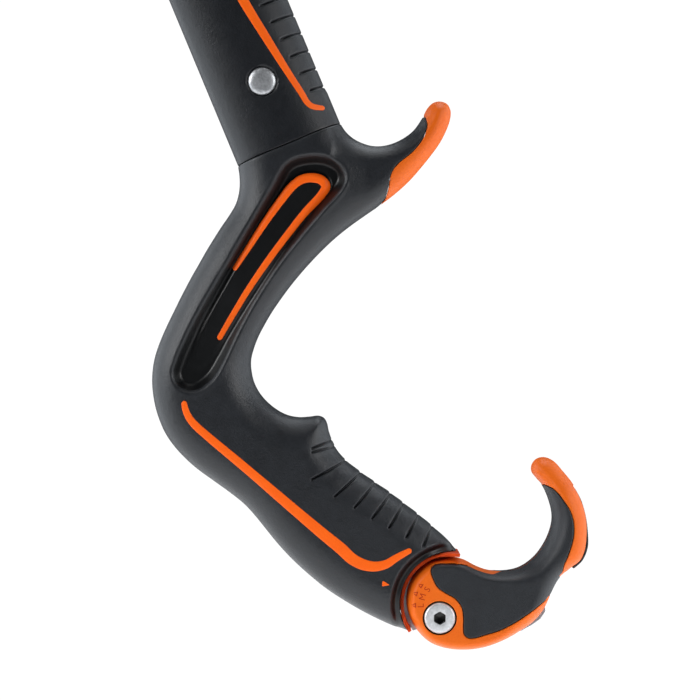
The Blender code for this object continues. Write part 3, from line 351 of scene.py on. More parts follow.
def split_faces(v, quads, refine):
    """Splits quads into 3 by 3 where refine(centres) holds; the ring of neighbours takes the new edge points."""
    mid = v[quads].mean(1)
    sel = refine(mid)
    if not sel.any():
        return v, quads
    verts = [v]
    count = len(v)
    chosen = quads[sel]
    e = np.concatenate([chosen[:, [0, 1]], chosen[:, [1, 2]], chosen[:, [2, 3]], chosen[:, [3, 0]]])
    key = np.unique(np.sort(e, 1), axis=0)
    third = np.concatenate([v[key[:, 0]] * 2 / 3 + v[key[:, 1]] / 3, v[key[:, 0]] / 3 + v[key[:, 1]] * 2 / 3])
    lut = {(int(a), int(b)): (count + i, count + len(key) + i) for i, (a, b) in enumerate(key)}
    verts.append(third)
    count += len(third)
    faces = []
    inner = []

    def edge(a, b):
        if (a, b) in lut:
            return lut[(a, b)]
        if (b, a) in lut:
            return lut[(b, a)][::-1]
        return ()

    for ok, qd in zip(sel, quads.tolist()):
        a, b, c, d = qd
        ab, bc, cd, da = edge(a, b), edge(b, c), edge(c, d), edge(d, a)
        if ok:
            va, vb, vc, vd = v[a], v[b], v[c], v[d]
            ids = []
            for s, t in ((1 / 3, 1 / 3), (2 / 3, 1 / 3), (2 / 3, 2 / 3), (1 / 3, 2 / 3)):
                inner.append((va * (1 - s) + vb * s) * (1 - t) + (vd * (1 - s) + vc * s) * t)
                ids.append(count)
                count += 1
            p, r, s_, t_ = ids
            faces += [(a, ab[0], p, da[1]), (ab[0], ab[1], r, p), (ab[1], b, bc[0], r), (r, bc[0], bc[1], s_),
                      (s_, bc[1], c, cd[0]), (t_, s_, cd[0], cd[1]), (da[0], t_, cd[1], d), (da[1], p, t_, da[0]),
                      (p, r, s_, t_)]
        elif ab or bc or cd or da:
            faces.append((a, *ab, b, *bc, c, *cd, d, *da))
        else:
            faces.append((a, b, c, d))
    verts.append(np.array(inner))
    return np.concatenate(verts), faces


# ============================================================== materials
def nodes_of(name):
    mat = bpy.data.materials.new(name)
    mat.use_nodes = True
    nt = mat.node_tree
    return mat, nt, nt.nodes["Principled BSDF"]


def link(nt, a, b):
    nt.links.new(a, b)


def noise(nt, coord, scale, detail=4.0, rough=0.55):
    n = nt.nodes.new("ShaderNodeTexNoise")
    n.inputs["Scale"].default_value = scale
    n.inputs["Detail"].default_value = detail
    n.inputs["Roughness"].default_value = rough
    link(nt, coord, n.inputs["Vector"])
    return n.outputs["Fac"]


def ramp(nt, fac, stops):
    r = nt.nodes.new("ShaderNodeValToRGB")
    el = r.color_ramp.elements
    while len(el) < len(stops):
        el.new(0.5)
    for e, (p, c) in zip(el, stops):
        e.position = p
        e.color = (*c, 1.0) if len(c) == 3 else c
    link(nt, fac, r.inputs["Fac"])
    return r.outputs["Color"]


def value_map(nt, fac, lo, hi):
    m = nt.nodes.new("ShaderNodeMapRange")
    m.inputs["To Min"].default_value = lo
    m.inputs["To Max"].default_value = hi
    link(nt, fac, m.inputs["Value"])
    return m.outputs["Result"]


def bump(nt, bsdf, layers):
    """Layers of (height socket, distance in metres, strength), first to last."""
    prev = None
    for fac, dist, strength in layers:
        b = nt.nodes.new("ShaderNodeBump")
        b.inputs["Distance"].default_value = dist
        b.inputs["Strength"].default_value = strength
        link(nt, fac, b.inputs["Height"])
        if prev is not None:
            link(nt, prev, b.inputs["Normal"])
        prev = b.outputs["Normal"]
    link(nt, prev, bsdf.inputs["Normal"])


def plastic(name, dark, light, rough, grain=2600.0, depth=0.00004, spec=0.5, sheen=0.0, wear=None, mottled=90.0):
    """Moulded polymer: fine grain, slow colour variation, a little wear on the edges."""
    mat, nt, bs = nodes_of(name)
    co = nt.nodes.new("ShaderNodeTexCoord").outputs["Object"]
    slow = noise(nt, co, mottled, 5.0, 0.6)
    fine = noise(nt, co, grain, 3.0, 0.65)
    mid = noise(nt, co, grain * 0.32, 4.0, 0.6)
    mix = nt.nodes.new("ShaderNodeMix")
    mix.data_type = "FLOAT"
    mix.inputs[0].default_value = 0.5
    link(nt, slow, mix.inputs[2])
    link(nt, fine, mix.inputs[3])
    col = ramp(nt, mix.outputs[0], [(0.30, dark), (0.72, light)])
    if wear:
        geo = nt.nodes.new("ShaderNodeNewGeometry")
        pt = ramp(nt, geo.outputs["Pointiness"], [(0.52, (0, 0, 0)), (0.60, (1, 1, 1))])
        mx = nt.nodes.new("ShaderNodeMix")
        mx.data_type = "RGBA"
        mx.inputs[7].default_value = (*wear, 1)
        link(nt, pt, mx.inputs[0])
        link(nt, col, mx.inputs[6])
        col = mx.outputs[2]
    link(nt, col, bs.inputs["Base Color"])
    link(nt, value_map(nt, mix.outputs[0], rough - 0.07, rough + 0.09), bs.inputs["Roughness"])
    bs.inputs["Specular IOR Level"].default_value = spec
    if sheen:
        bs.inputs["Sheen Weight"].default_value = sheen
        bs.inputs["Sheen Roughness"].default_value = 0.5
    bump(nt, bs, [(mid, depth * 2.0, 0.45), (fine, depth, 0.8)])
    return mat


def metal(name, color, rough, scratch=(1.0, 1.0, 14.0), depth=0.00002, coat=None, contrast=0.25, scale=160.0):
    mat, nt, bs = nodes_of(name)
    tc = nt.nodes.new("ShaderNodeTexCoord").outputs["Object"]
    mp = nt.nodes.new("ShaderNodeMapping")
    mp.inputs["Scale"].default_value = scratch
    link(nt, tc, mp.inputs["Vector"])
    lines = noise(nt, mp.outputs["Vector"], scale, 6.0, 0.7)
    spots = noise(nt, tc, 420.0, 4.0, 0.6)
    mix = nt.nodes.new("ShaderNodeMix")
    mix.data_type = "FLOAT"
    mix.inputs[0].default_value = 0.4
    link(nt, lines, mix.inputs[2])
    link(nt, spots, mix.inputs[3])
    lo = tuple(c * (1 - contrast) for c in color)
    hi = tuple(min(1.0, c * (1 + contrast * 0.6)) for c in color)
    link(nt, ramp(nt, mix.outputs[0], [(0.3, lo), (0.7, hi)]), bs.inputs["Base Color"])
    bs.inputs["Metallic"].default_value = 1.0
    link(nt, value_map(nt, mix.outputs[0], rough - 0.08, rough + 0.1), bs.inputs["Roughness"])
    if coat:
        bs.inputs["Coat Weight"].default_value = coat
        bs.inputs["Coat Roughness"].default_value = 0.25
    bump(nt, bs, [(lines, depth, 0.5), (spots, depth, 0.4)])
    return mat


BLACK = plastic("grip_black_rubber", (0.0030, 0.0038, 0.0056), (0.0095, 0.0115, 0.0156), 0.43, grain=2300,
                depth=0.00011, spec=0.50, mottled=260.0)
SLEEVE = plastic("sleeve_black_rubber", (0.0022, 0.0029, 0.0044), (0.0062, 0.0078, 0.0112), 0.42, grain=2300,
                 depth=0.00010, spec=0.44, mottled=240.0)
# Slightly glossier black whose darker colour is painted shade: it goes on the recess trough, the rib grooves and the
# chamfer round the socket.
GLOSS_AND_SHADE = plastic("recess_black_painted_shade", (0.0010, 0.0012, 0.0015), (0.0030, 0.0034, 0.0040), 0.36, grain=1500,
                depth=0.00001, spec=0.40)
PADM = plastic("pommel_pad_rubber", (0.0060, 0.0072, 0.0096), (0.0135, 0.0160, 0.0206), 0.50, grain=2600,
               depth=0.00010, spec=0.45, mottled=300.0)
ORANGE = plastic("pommel_orange_nylon", (0.710, 0.110, 0.004), (0.800, 0.150, 0.007), 0.48, grain=1700,
                 depth=0.00001, spec=0.22, mottled=60.0)
STRIPE = plastic("stripe_orange", (0.880, 0.102, 0.002), (0.940, 0.138, 0.003), 0.50, grain=1900, depth=0.00001,
                 spec=0.22, mottled=80.0)
CAPM = plastic("hook_cap_orange", (0.680, 0.100, 0.003), (0.770, 0.142, 0.005), 0.48, grain=1700, depth=0.00001,
               spec=0.22, mottled=60.0)
LINER = plastic("liner_orange", (0.560, 0.045, 0.002), (0.680, 0.066, 0.003), 0.46, grain=1500, depth=0.00001,
                spec=0.3, mottled=60.0)
INK = plastic("mark_ink", (0.380, 0.028, 0.004), (0.460, 0.040, 0.006), 0.6, grain=1500, depth=0.000005, spec=0.15)
SHAFT = metal("shaft_anodised", (0.060, 0.062, 0.068), 0.36, scratch=(1, 1, 0.08), coat=0.15, scale=900.0)
HEADM = plastic("head_powder_coat", (0.020, 0.021, 0.023), (0.042, 0.043, 0.046), 0.42, grain=1100,
                depth=0.00006, spec=0.5, wear=(0.22, 0.22, 0.23), mottled=150.0)
FORGED = metal("forged_steel", (0.46, 0.46, 0.47), 0.36, scratch=(0.25, 1, 6), scale=240.0, contrast=0.35)
WEIGHT = metal("weight_steel", (0.20, 0.20, 0.21), 0.42, scratch=(1, 1, 1), scale=500.0, contrast=0.35)
PLATE = metal("plate_steel", (0.62, 0.62, 0.64), 0.32, scratch=(1, 6, 1), scale=300.0)
BOLT = metal("fastener_steel", (0.64, 0.64, 0.65), 0.30, scratch=(1, 1, 1), scale=700.0, contrast=0.3)
SCREWM = metal("screw_steel", (0.80, 0.81, 0.83), 0.50, scratch=(1, 1, 1), scale=900.0, contrast=0.28, depth=0.00004)
RIVETM = metal("rivet_steel", (0.62, 0.63, 0.65), 0.46, scratch=(1, 1, 1), scale=1300.0, contrast=0.5, depth=0.00005)
DARKHOLE = plastic("socket_shadow", (0.006, 0.005, 0.005), (0.022, 0.018, 0.016), 0.35)
SEAT = plastic("seat_shadow", (0.004, 0.003, 0.003), (0.012, 0.007, 0.005), 0.6, spec=0.2)

# ============================================================== grip form
T_GRIP = 13.7
outline = np.concatenate([curve(GRIP_LEFT, 0.6), curve(GRIP_RIGHT, 0.6)])
GRIP_BOX = (-62, -54, 64, 142)


def grip_distance(gx, gz):
    d = signed_distance(gx, gz, outline)
    soft = blur(d, 7)
    w = smooth(d, 2.5, 6.5)
    return d * (1 - w) + soft * w


D_GRIP = Field(GRIP_BOX, 0.25, grip_distance)
rec_out, rec_in = curve(RECESS, 0.6, True), curve(ISLAND, 0.6, True)
cap_poly = np.concatenate([curve(CAP_EDGE, 0.5), np.array(CAP_OUTER, float)])


def window(box, fn, outside):
    """Evaluates fn only inside a box of the XZ plane; a constant elsewhere."""
    def run(gx, gz):
        out = np.full(gx.shape, float(outside))
        m = (gx > box[0]) & (gx < box[2]) & (gz > box[1]) & (gz < box[3])
        out[m] = fn(gx[m], gz[m])
        return out
    return run


def recess_depth(gx, gz):
    so = signed_distance(gx, gz, rec_out)
    si = signed_distance(gx, gz, rec_in)
    along = np.clip((gz - 40) / 70, 0, 1)
    fall = smooth(so, -2.2, 1.9)
    island = smooth(si, -0.9, 1.2) * (0.02 + 0.50 * smooth(along, 0.08, 0.60))
    lip = np.exp(-((so + 2.0) / 1.2) ** 2) * 0.10
    return 3.9 * fall * (1 - island) - lip


D_REC = Field(GRIP_BOX, 0.25, window((-54, 33, 14, 121), recess_depth, 0.0))
D_CAP = Field(GRIP_BOX, 0.25, window((8, 84, 54, 142), lambda a, b: signed_distance(a, b, cap_poly), -20.0))


def grip_radius(x, z):
    hook = smooth(x, 6, 22) * smooth(z, 88, 104)
    return 12.0 - 4.6 * hook


STEP_LINE = curve([inset(p) for p in ((1.6, 131), (2.4, 126.2), (4.3, 121), (3.9, 117), (6.4, 114), (8.2, 110.2),
                                      (8.3, 106.4), (6.3, 103.2), (2.6, 99), (-3, 92))], 1.0)


def step_drop(gx, gz):
    best = np.full(gx.shape, 1e9)
    sgn = np.ones(gx.shape)
    for a, b in zip(STEP_LINE, STEP_LINE[1:]):
        d, t = segment_distance(gx, gz, a, b)
        cr = (b[0] - a[0]) * (gz - a[1]) - (b[1] - a[1]) * (gx - a[0])
        m = d < best
        best = np.where(m, d, best)
        sgn = np.where(m, np.where(cr > 0, 1.0, -1.0), sgn)
    d = best * sgn
    fade = smooth(gz, 90, 106)
    return fade * (0.55 * smooth(d, -0.6, 1.6) + 1.15 * smooth(d, -0.5, 9.0))


D_STEP = Field((-16, 84, 60, 142), 0.4, step_drop)


def grip_half(x, z):
    hook = smooth(x, 14, 44) * smooth(z, 96, 108)
    grip = np.exp(-(((x - 4) / 24) ** 2 + ((z - 2) / 26) ** 2))
    arm = np.where((x > -15) & (z > 85), D_STEP.at(np.clip(x, -15, 59), np.clip(z, 85, 141)), 0)
    return T_GRIP - 0.9 * hook * smooth(z, 122, 136) + 0.35 * grip - arm


def groove_depth(x, z):
    """Rib cuts of the finger side, their bright ends and the slight slope of each rib."""
    out = np.zeros(np.shape(x))
    for i, (a, b) in enumerate(GROOVES):
        d, t = segment_distance(x, z, a, (b[0] + (b[0] - a[0]) * 0.8, b[1] + (b[1] - a[1]) * 0.8))
        wide = 0.32 if i < 2 else 0.36
        fade = 1 - 0.75 * smooth(t, 0.75, 1.5)
        out = np.maximum(out, (0.75 + 0.25 * (i > 1)) * fade * np.exp(-(d / wide) ** 2))
        if i > 0:
            n = np.array([b[1] - a[1], -(b[0] - a[0])])
            n = n / np.linalg.norm(n)
            off = (x - a[0]) * n[0] + (z - a[1]) * n[1]
            along = smooth(t, -0.15, 0.55)
            out = out + 0.42 * along * smooth(off, -0.05, 0.35) * (1 - smooth(off, 0.6, 5.2)) * (off > -0.2)
    return out


GROOVE_F = Field((-10, -24, 52, 30), 0.12, groove_depth)


def grip_raw(x, y, z, d, rec, rad, half, groove):
    u = np.maximum(1 - d / rad, 0)
    yy = (np.abs(y) + rec + groove) / half
    return (1 - (u ** 2.25 + yy ** 2.35) ** (1 / 2.3)) * 10.0


def socket_cut(x, z):
    r = np.hypot(x - PIVOT[0], z - PIVOT[1])
    return r - SOCKET_R, 2.9 * (1 - smooth(r, SOCKET_R + 1.4, SOCKET_R + 3.7))


def grip_field(part):
    def fn(x, y, z):
        if np.ndim(x) == 3:
            gx, gz = np.meshgrid(x[:, 0, 0], z[0, 0, :], indexing="ij")
            d, rec, cap = D_GRIP.at(gx, gz), D_REC.at(gx, gz), D_CAP.at(gx, gz)
            gr = np.where((gx > -9) & (gx < 50) & (gz > -22) & (gz < 28), GROOVE_F.at(gx, gz), 0)
            x2, z2, sh = gx, gz, (gx.shape[0], 1, gx.shape[1])
        else:
            d, rec, cap = D_GRIP.at(x, z), D_REC.at(x, z), D_CAP.at(x, z)
            gr = np.where((x > -9) & (x < 50) & (z > -22) & (z < 28), GROOVE_F.at(x, z), 0)
            x2, z2, sh = x, z, np.shape(x)
        cyl, chamfer = socket_cut(x2, z2)
        seam = -((x2 - SEAM[0]) * UP[0] + (z2 - SEAM[1]) * UP[1]) - 0.12
        hook_side = (x2 > 8)
        seam = np.where(hook_side, 9.0, seam)
        edge = 0.16 * (1 - smooth(seam, 0.0, 0.45))
        d = d - 0.30 * gr - edge * 0.6
        rs = lambda a: np.reshape(a, sh)
        f = grip_raw(x, y, z, rs(d), rs(rec + chamfer + edge), rs(grip_radius(x2, z2)), rs(grip_half(x2, z2)), rs(gr))
        f = np.minimum(f, rs(cyl))
        f = np.minimum(f, rs(seam))
        if part == "cap":
            return np.minimum(f, rs(cap))
        return np.minimum(f, rs(-cap - 0.10))
    return fn


def near_groove(c):
    g = np.zeros(len(c), bool)
    m = (c[:, 0] > -8) & (c[:, 0] < 48) & (c[:, 2] > -20) & (c[:, 2] < 26)
    for a, b in GROOVES:
        d, t = segment_distance(c[m, 0], c[m, 2], a, (b[0] + (b[0] - a[0]) * 0.8, b[1] + (b[1] - a[1]) * 0.8))
        g[m] |= d < 0.95
    return g & (np.abs(c[:, 1]) < 20)


over = moulded("handle_overmould_form", grip_field("over"), ((-58.5, -14.9, -46.5), (50.5, 14.9, 129.5)), VOX, BLACK,
               "axe", "handle_overmould", refine=near_groove)
over.data.materials.append(GLOSS_AND_SHADE)
# Faces in the recess trough, along the rib grooves and on the chamfer round the socket take the darker black: painted
# shade.
fc = np.zeros(len(over.data.polygons) * 3)
over.data.polygons.foreach_get("center", fc)
fc = fc.reshape(-1, 3) / MM
inside = (D_REC.at(np.clip(fc[:, 0], -61, 62), np.clip(fc[:, 2], -53, 140)) > 1.0) & (fc[:, 2] > 34) & \
         (fc[:, 2] < 119) & (fc[:, 0] < 12)
for i, (a, b) in enumerate(GROOVES):
    d, t = segment_distance(fc[:, 0], fc[:, 2], a, (b[0] + (b[0] - a[0]) * 0.25, b[1] + (b[1] - a[1]) * 0.25))
    inside |= (d < 0.26 * (1 - 0.5 * np.clip(t, 0, 1))) & (fc[:, 2] < 24)
inside |= np.hypot(fc[:, 0] - PIVOT[0], fc[:, 2] - PIVOT[1]) < SOCKET_R + 2.7
over.data.polygons.foreach_set("material_index", inside.astype(np.int32))
over.data.update()
cap_ob = moulded("hook_cap_form", grip_field("cap"), ((11, -14.9, 90), (46, 14.9, 137)), VOX_P, CAPM, "axe",
                 "hook_cap")


def grip_height(x, z, with_recess=True):
    d = D_GRIP.at(x, z)
    u = np.maximum(1 - d / grip_radius(x, z), 0)
    h = grip_half(x, z) * np.maximum(1 - u ** 2.25, 0) ** (1 / 2.35)
    return h - (D_REC.at(x, z) if with_recess else 0)


def strip(name, line, widths, height, side, mat, body, node, proud=0.16, sink=0.9, cols=10):
    """Inlay along a line on the surface y = height(x, z): domed, round at its ends, closed below."""
    c = curve(line, 0.35)
    ctrl = np.array(line, float)
    at = [0.0]
    for a, b in zip(ctrl, ctrl[1:]):
        at.append(at[-1] + np.linalg.norm(b - a))
    run = np.concatenate([[0], np.cumsum(np.linalg.norm(np.diff(c, axis=0), axis=1))])
    w = np.interp(run / run[-1], np.array(at) / at[-1], widths) / 2
    w = w * np.sqrt(np.clip(1 - (1 - np.minimum(np.minimum(run, run[-1] - run) / w, 1)) ** 2, 0.0, 1)).clip(0.18, 1)
    t = np.gradient(c, axis=0)
    t /= np.linalg.norm(t, axis=1)[:, None]
    n = np.stack([-t[:, 1], t[:, 0]], 1)
    # keep the inner side of a tight bend from folding over itself
    ang = np.unwrap(np.arctan2(t[:, 1], t[:, 0]))
    bend = np.gradient(ang, run)
    bend = np.convolve(np.pad(bend, 3, mode="edge"), np.ones(7) / 7, "valid")
    rows = []
    prof = [(-1.0, -sink), (-1.0, -0.25), (-0.97, 0.02), (-0.86, 0.70), (-0.5, 0.96), (0, 1.0), (0.5, 0.96),
            (0.86, 0.70), (0.97, 0.02), (1.0, -0.25), (1.0, -sink)]
    for u, hgt in prof:
        lim = np.where(bend * u > 0.02, np.minimum(w, 0.9 / np.maximum(np.abs(bend), 1e-3)), w)
        p = c + n * (u * lim)[:, None]
        base = height(p[:, 0], p[:, 1])
        lift = proud * hgt if hgt > 0 else hgt
        rows.append(np.stack([p[:, 0], side * (base + lift), p[:, 1]], 1))
    grid = np.stack(rows, 1)
    m, k = grid.shape[:2]
    v = grid.reshape(-1, 3)
    faces = []
    for i in range(m - 1):
        for j in range(k):
            j2 = (j + 1) % k
            faces.append((i * k + j, i * k + j2, (i + 1) * k + j2, (i + 1) * k + j))
    faces.append(tuple(range(k)))
    faces.append(tuple((m - 1) * k + j for j in range(k)))
    return make(name, v, faces, mat, body, node, clean=True)


for side, tag in ((-1, "near"), (1, "far")):
    strip(f"recess_stripe_{tag}_inlay", HAIRPIN, HAIRPIN_W, grip_height, side, STRIPE, "axe",
          f"recess_stripe_{tag}")
    strip(f"grip_stripe_{tag}_inlay", GRIP_STRIPE, GRIP_STRIPE_W, grip_height, side, STRIPE, "axe",
          f"grip_stripe_{tag}", proud=0.14)


def pad_sides(a, k):
    return max(a, k)


def lower(a, b, k=0.35):
    """Smaller of two fields with a rounded meeting edge."""
    h = np.clip(0.5 + 0.5 * (b - a) / k, 0, 1)
    return b * (1 - h) + a * h - k * h * (1 - h)


def spread2(x, z):
    """Column grids and the shape that lines them up with a volume."""
    if np.ndim(x) == 3:
        gx, gz = np.meshgrid(x[:, 0, 0], z[0, 0, :], indexing="ij")
        return gx, gz, (gx.shape[0], 1, gx.shape[1])
    return x, z, np.shape(x)


def tri_mark(name, points, height, side, mat, body, node, proud=0.12):
    """Small raised flat mark on the surface y = height(x, z)."""
    c = np.array(points, float)
    mid = c.mean(0)
    rows = []
    for k, lift in ((1.0, -0.5), (1.0, 0.02), (0.9, proud), (0.5, proud + 0.01), (0.05, proud + 0.01)):
        ring = []
        for i in range(len(c)):
            a, b = mid + (c[i] - mid) * k, mid + (c[(i + 1) % len(c)] - mid) * k
            ring += [a + (b - a) * t for t in (0.12, 0.3, 0.5, 0.7, 0.88)]
        ring = np.array(ring)
        rows.append(np.stack([ring[:, 0], side * (height(ring[:, 0], ring[:, 1]) + lift), ring[:, 1]], 1))
    return rings_mesh(name, rows, mat, body, node)


def rings_mesh(name, rows, mat, body, node, hollow=False, sharp=None):
    """Skin over rings of equal count, capped at both ends, or joined last to first."""
    n = len(rows[0])
    v = np.concatenate(rows)
    faces = []
    m = len(rows)
    for i in range(m if hollow else m - 1):
        j = (i + 1) % m
        for k in range(n):
            k2 = (k + 1) % n
            faces.append((i * n + k, i * n + k2, j * n + k2, j * n + k))
    if not hollow:
        faces.append(tuple(range(n)))
        faces.append(tuple((m - 1) * n + k for k in range(n)))
    return make(name, v, faces, mat, body, node, sharp, clean=True)


def turned_rings(at, spec, count=72, y_sign=1):
    """Rings about an axis along Y at a point of the XZ plane: (radius, y) or (radius, y, hex corner radius)."""
    a = np.arange(count) * 2 * math.pi / count
    rows = []
    for item in spec:
        r, y = item[0], item[1]
        rr = np.full(count, float(r))
        if len(item) > 2:
            hexr = item[2] * math.cos(math.pi / 6) / np.cos((a + math.pi / 6) % (math.pi / 3) - math.pi / 6)
            rr = np.minimum(rr, hexr)
        rows.append(np.stack([at[0] + rr * np.cos(a), np.full(count, y * y_sign), at[1] + rr * np.sin(a)], 1))
    return rows


def socket_screw(name, at, y_top, y_under, head_r, shank_r, y_end, hex_r, hex_floor, mat, body, node, dome=0.5):
    """Low-head screw: hex recess, domed rim, shank. y runs into the piece."""
    t = y_top
    spec = [(0.15, t + hex_floor + 0.45), (hex_r * 0.72, t + hex_floor, hex_r * 0.72), (20, t + hex_floor - 0.05, hex_r),
            (20, t + 0.22, hex_r), (20, t + 0.06, hex_r * 1.06), (hex_r * 1.20, t + 0.01),
            (hex_r * 1.3, t), (head_r * 0.86, t + dome * 0.04), (head_r * 0.895, t + dome * 0.12),
            (head_r * 0.965, t + dome * 0.70), (head_r * 0.99, t + dome * 1.15), (head_r, t + dome * 1.7),
            (head_r, (t + y_under) / 2), (head_r, y_under - 0.2), (head_r - 0.15, y_under), (shank_r + 0.1, y_under),
            (shank_r, y_under + 0.2), (shank_r, y_end - 0.5), (shank_r - 0.5, y_end), (0.2, y_end)]
    ob = rings_mesh(name, turned_rings(at, spec, 96), mat, body, node, sharp=24)
    ob.data.materials.append(DARKHOLE)
    for p in ob.data.polygons:
        c = p.center / MM
        p.material_index = int(math.hypot(c.x - at[0], c.z - at[1]) < hex_r * 1.01 and t + 0.1 < c.y < t + hex_floor + 1)
    return ob


def hex_nut(name, at, y0, y1, corner_r, hole_r, mat, body, node):
    c = corner_r
    spec = [(hole_r, y0 + 0.4), (hole_r + 0.35, y0), (c * 0.9, y0), (c * 0.985, y0 + 0.4, c * 1.01),
            (20, y0 + 0.9, c), (20, y1 - 1.0, c), (c * 0.985, y1 - 0.45, c * 1.01), (c * 0.88, y1),
            (hole_r + 0.4, y1), (hole_r, y1 - 0.45)]
    return rings_mesh(name, turned_rings(at, spec, 96), mat, body, node, hollow=True, sharp=35)


def sheet_part(name, outlines, y0, y1, mat, body, node, bevel=0.3, segs=3, angle=35):
    """Flat part from closed outlines, the first its edge and the rest its holes, with rounded edges."""
    cu = bpy.data.curves.new(name, "CURVE")
    cu.dimensions = "2D"
    cu.fill_mode = "BOTH"
    cu.extrude = (y1 - y0) / 2 * MM
    for o in outlines:
        o = np.asarray(o, float)
        sp = cu.splines.new("POLY")
        sp.points.add(len(o) - 1)
        sp.points.foreach_set("co", np.stack([o[:, 0] * MM, o[:, 1] * MM, np.zeros(len(o)), np.ones(len(o))],
                                             1).ravel())
        sp.use_cyclic_u = True
    tmp = bpy.data.objects.new(name + "_c", cu)
    bpy.context.scene.collection.objects.link(tmp)
    dg = bpy.context.evaluated_depsgraph_get()
    mesh = bpy.data.meshes.new_from_object(tmp.evaluated_get(dg))
    bpy.data.objects.remove(tmp, do_unlink=True)
    bm = bmesh.new()
    bm.from_mesh(mesh)
    bmesh.ops.remove_doubles(bm, verts=bm.verts, dist=0.002 * MM)
    for v in bm.verts:
        x, z, t = v.co.x, v.co.y, v.co.z
        v.co = (x, (y0 + y1) / 2 * MM + t, z)
    bmesh.ops.recalc_face_normals(bm, faces=bm.faces)
    bmesh.ops.dissolve_limit(bm, angle_limit=0.002, verts=bm.verts, edges=bm.edges)
    bm.to_mesh(mesh)
    bm.free()
    ob = bpy.data.objects.new(name, mesh)
    bpy.context.scene.collection.objects.link(ob)
    mesh.materials.clear()
    mesh.materials.append(mat)
    if bevel:
        b = ob.modifiers.new("edge", "BEVEL")
        b.width = bevel * MM
        b.segments = segs
        b.limit_method = "ANGLE"
        b.angle_limit = math.radians(angle)
        b.harden_normals = True
    mesh.shade_smooth()
    mesh.set_sharp_from_angle(angle=math.radians(40))
    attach(ob, body)
    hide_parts(node)
    return ob


def round_hole(at, r, n=64):
    a = np.arange(n) * 2 * math.pi / n
    return np.stack([at[0] + r * np.cos(a), at[1] + r * np.sin(a)], 1)


def arc(at, r, a0, a1, n=24):
    a = np.radians(np.linspace(a0, a1, n))
    return np.stack([at[0] + r * np.cos(a), at[1] + r * np.sin(a)], 1)


# ============================================================== shaft and sleeve
STRAIGHT, LONG, SLEEVE_LEN = 96.0, 326.0, 95.0


def lean_at(s):
    t = np.clip((np.asarray(s, float) - STRAIGHT) / (LONG - STRAIGHT), 0, 1)
    return np.radians(-22.6 + 31.6 * t * t * (3 - 2 * t))


def centre_table():
    n = 1304
    ds = LONG / n * 1.02
    x, z = [SEAM[0]], [SEAM[1]]
    for i in range(n):
        a = float(lean_at((i + 0.5) * ds))
        x.append(x[-1] + math.sin(a) * ds)
        z.append(z[-1] + math.cos(a) * ds)
    return np.arange(n + 1) * ds, np.array(x), np.array(z)


CS, CX, CZ = centre_table()


def shaft_xz(s, across):
    a = lean_at(s)
    s = np.asarray(s, float)
    x = np.where(s < 0, SEAM[0] + s * UP[0], np.interp(s, CS, CX))
    z = np.where(s < 0, SEAM[1] + s * UP[1], np.interp(s, CS, CZ))
    return x + np.cos(a) * across, z - np.sin(a) * across


def section(hw, ht, power, count, start=0.0):
    a = start + np.arange(count) * 2 * math.pi / count
    c, s = np.cos(a), np.sin(a)
    return hw * np.sign(c) * np.abs(c) ** (2 / power), ht * np.sign(s) * np.abs(s) ** (2 / power)


def tube_form(name, s_list, outer, inner, power, count, mat, node, relief=None, curved=False):
    """Hollow form along the shaft: outer(s) and inner(s) give half width and half thickness."""
    rows = []
    for s, sink in s_list:
        w, t = outer(s)
        a, y = section(w - sink, t - sink, power, count)
        if relief is not None:
            d = relief(np.full(count, s), a, y)
            ln = np.hypot(a, y)
            a, y = a - a / ln * d, y - y / ln * d
        x, z = shaft_xz(np.full(count, s), a)
        rows.append(np.stack([x, y, z], 1))
    inside_s = [s_list[-1][0]] + [s for s, _ in s_list[-2:0:-1][::8]] * curved + [s_list[0][0]]
    for s in inside_s:
        w, t = inner(s)
        a, y = section(w, t, power, count)
        x, z = shaft_xz(np.full(count, s), a)
        rows.append(np.stack([x, y, z], 1))
    return rings_mesh(name, rows, mat, "axe", node, hollow=True, sharp=50)


RIVET_S = (RIVET_AT[0] - SEAM[0]) * UP[0] + (RIVET_AT[1] - SEAM[1]) * UP[1]
RIVET_A = (RIVET_AT[0] - SEAM[0]) * ACROSS[0] + (RIVET_AT[1] - SEAM[1]) * ACROSS[1]
SLEEVE_W, SLEEVE_T, SLEEVE_P = 18.8, 13.6, 2.45


RIB_S = [13.6 + 6.5 * k for k in range(6)]
RIB_A = [13.4, 12.4, 11.7, 10.9, 10.0, 8.9]


def sleeve_relief(s, a, y):
    """How deep the sleeve is cut at a point: front ribs, and the dish round the rivet."""
    d = np.zeros(np.shape(s))
    top = 1 - smooth(s, 60, 70)
    for s0, a0 in zip(RIB_S, RIB_A):
        off = s - s0 - (a - a0) * 0.04
        cut = smooth(a, a0 - 0.3, a0 + 0.5)
        d = np.maximum(d, cut * 0.80 * np.exp(-(off / 0.34) ** 2))
        # each rib swells from its lower groove to its upper one
        t = off / 6.5
        swell = smooth(t, 0.04, 0.30) * (1 - smooth(t, 0.30, 0.98))
        d = d - smooth(a, a0 + 1.5, 17.5) * 0.42 * swell * (t > 0) * (t < 1)
    d = d + smooth(a, 14.5, 17.8) * 0.30 * smooth(s, 11, 14) * top
    r = np.hypot(s - RIVET_S, a - RIVET_A)
    side = np.abs(y) > 6
    d = np.maximum(d, side * 0.95 * (1 - smooth(r, 4.95, 5.35)))
    return d


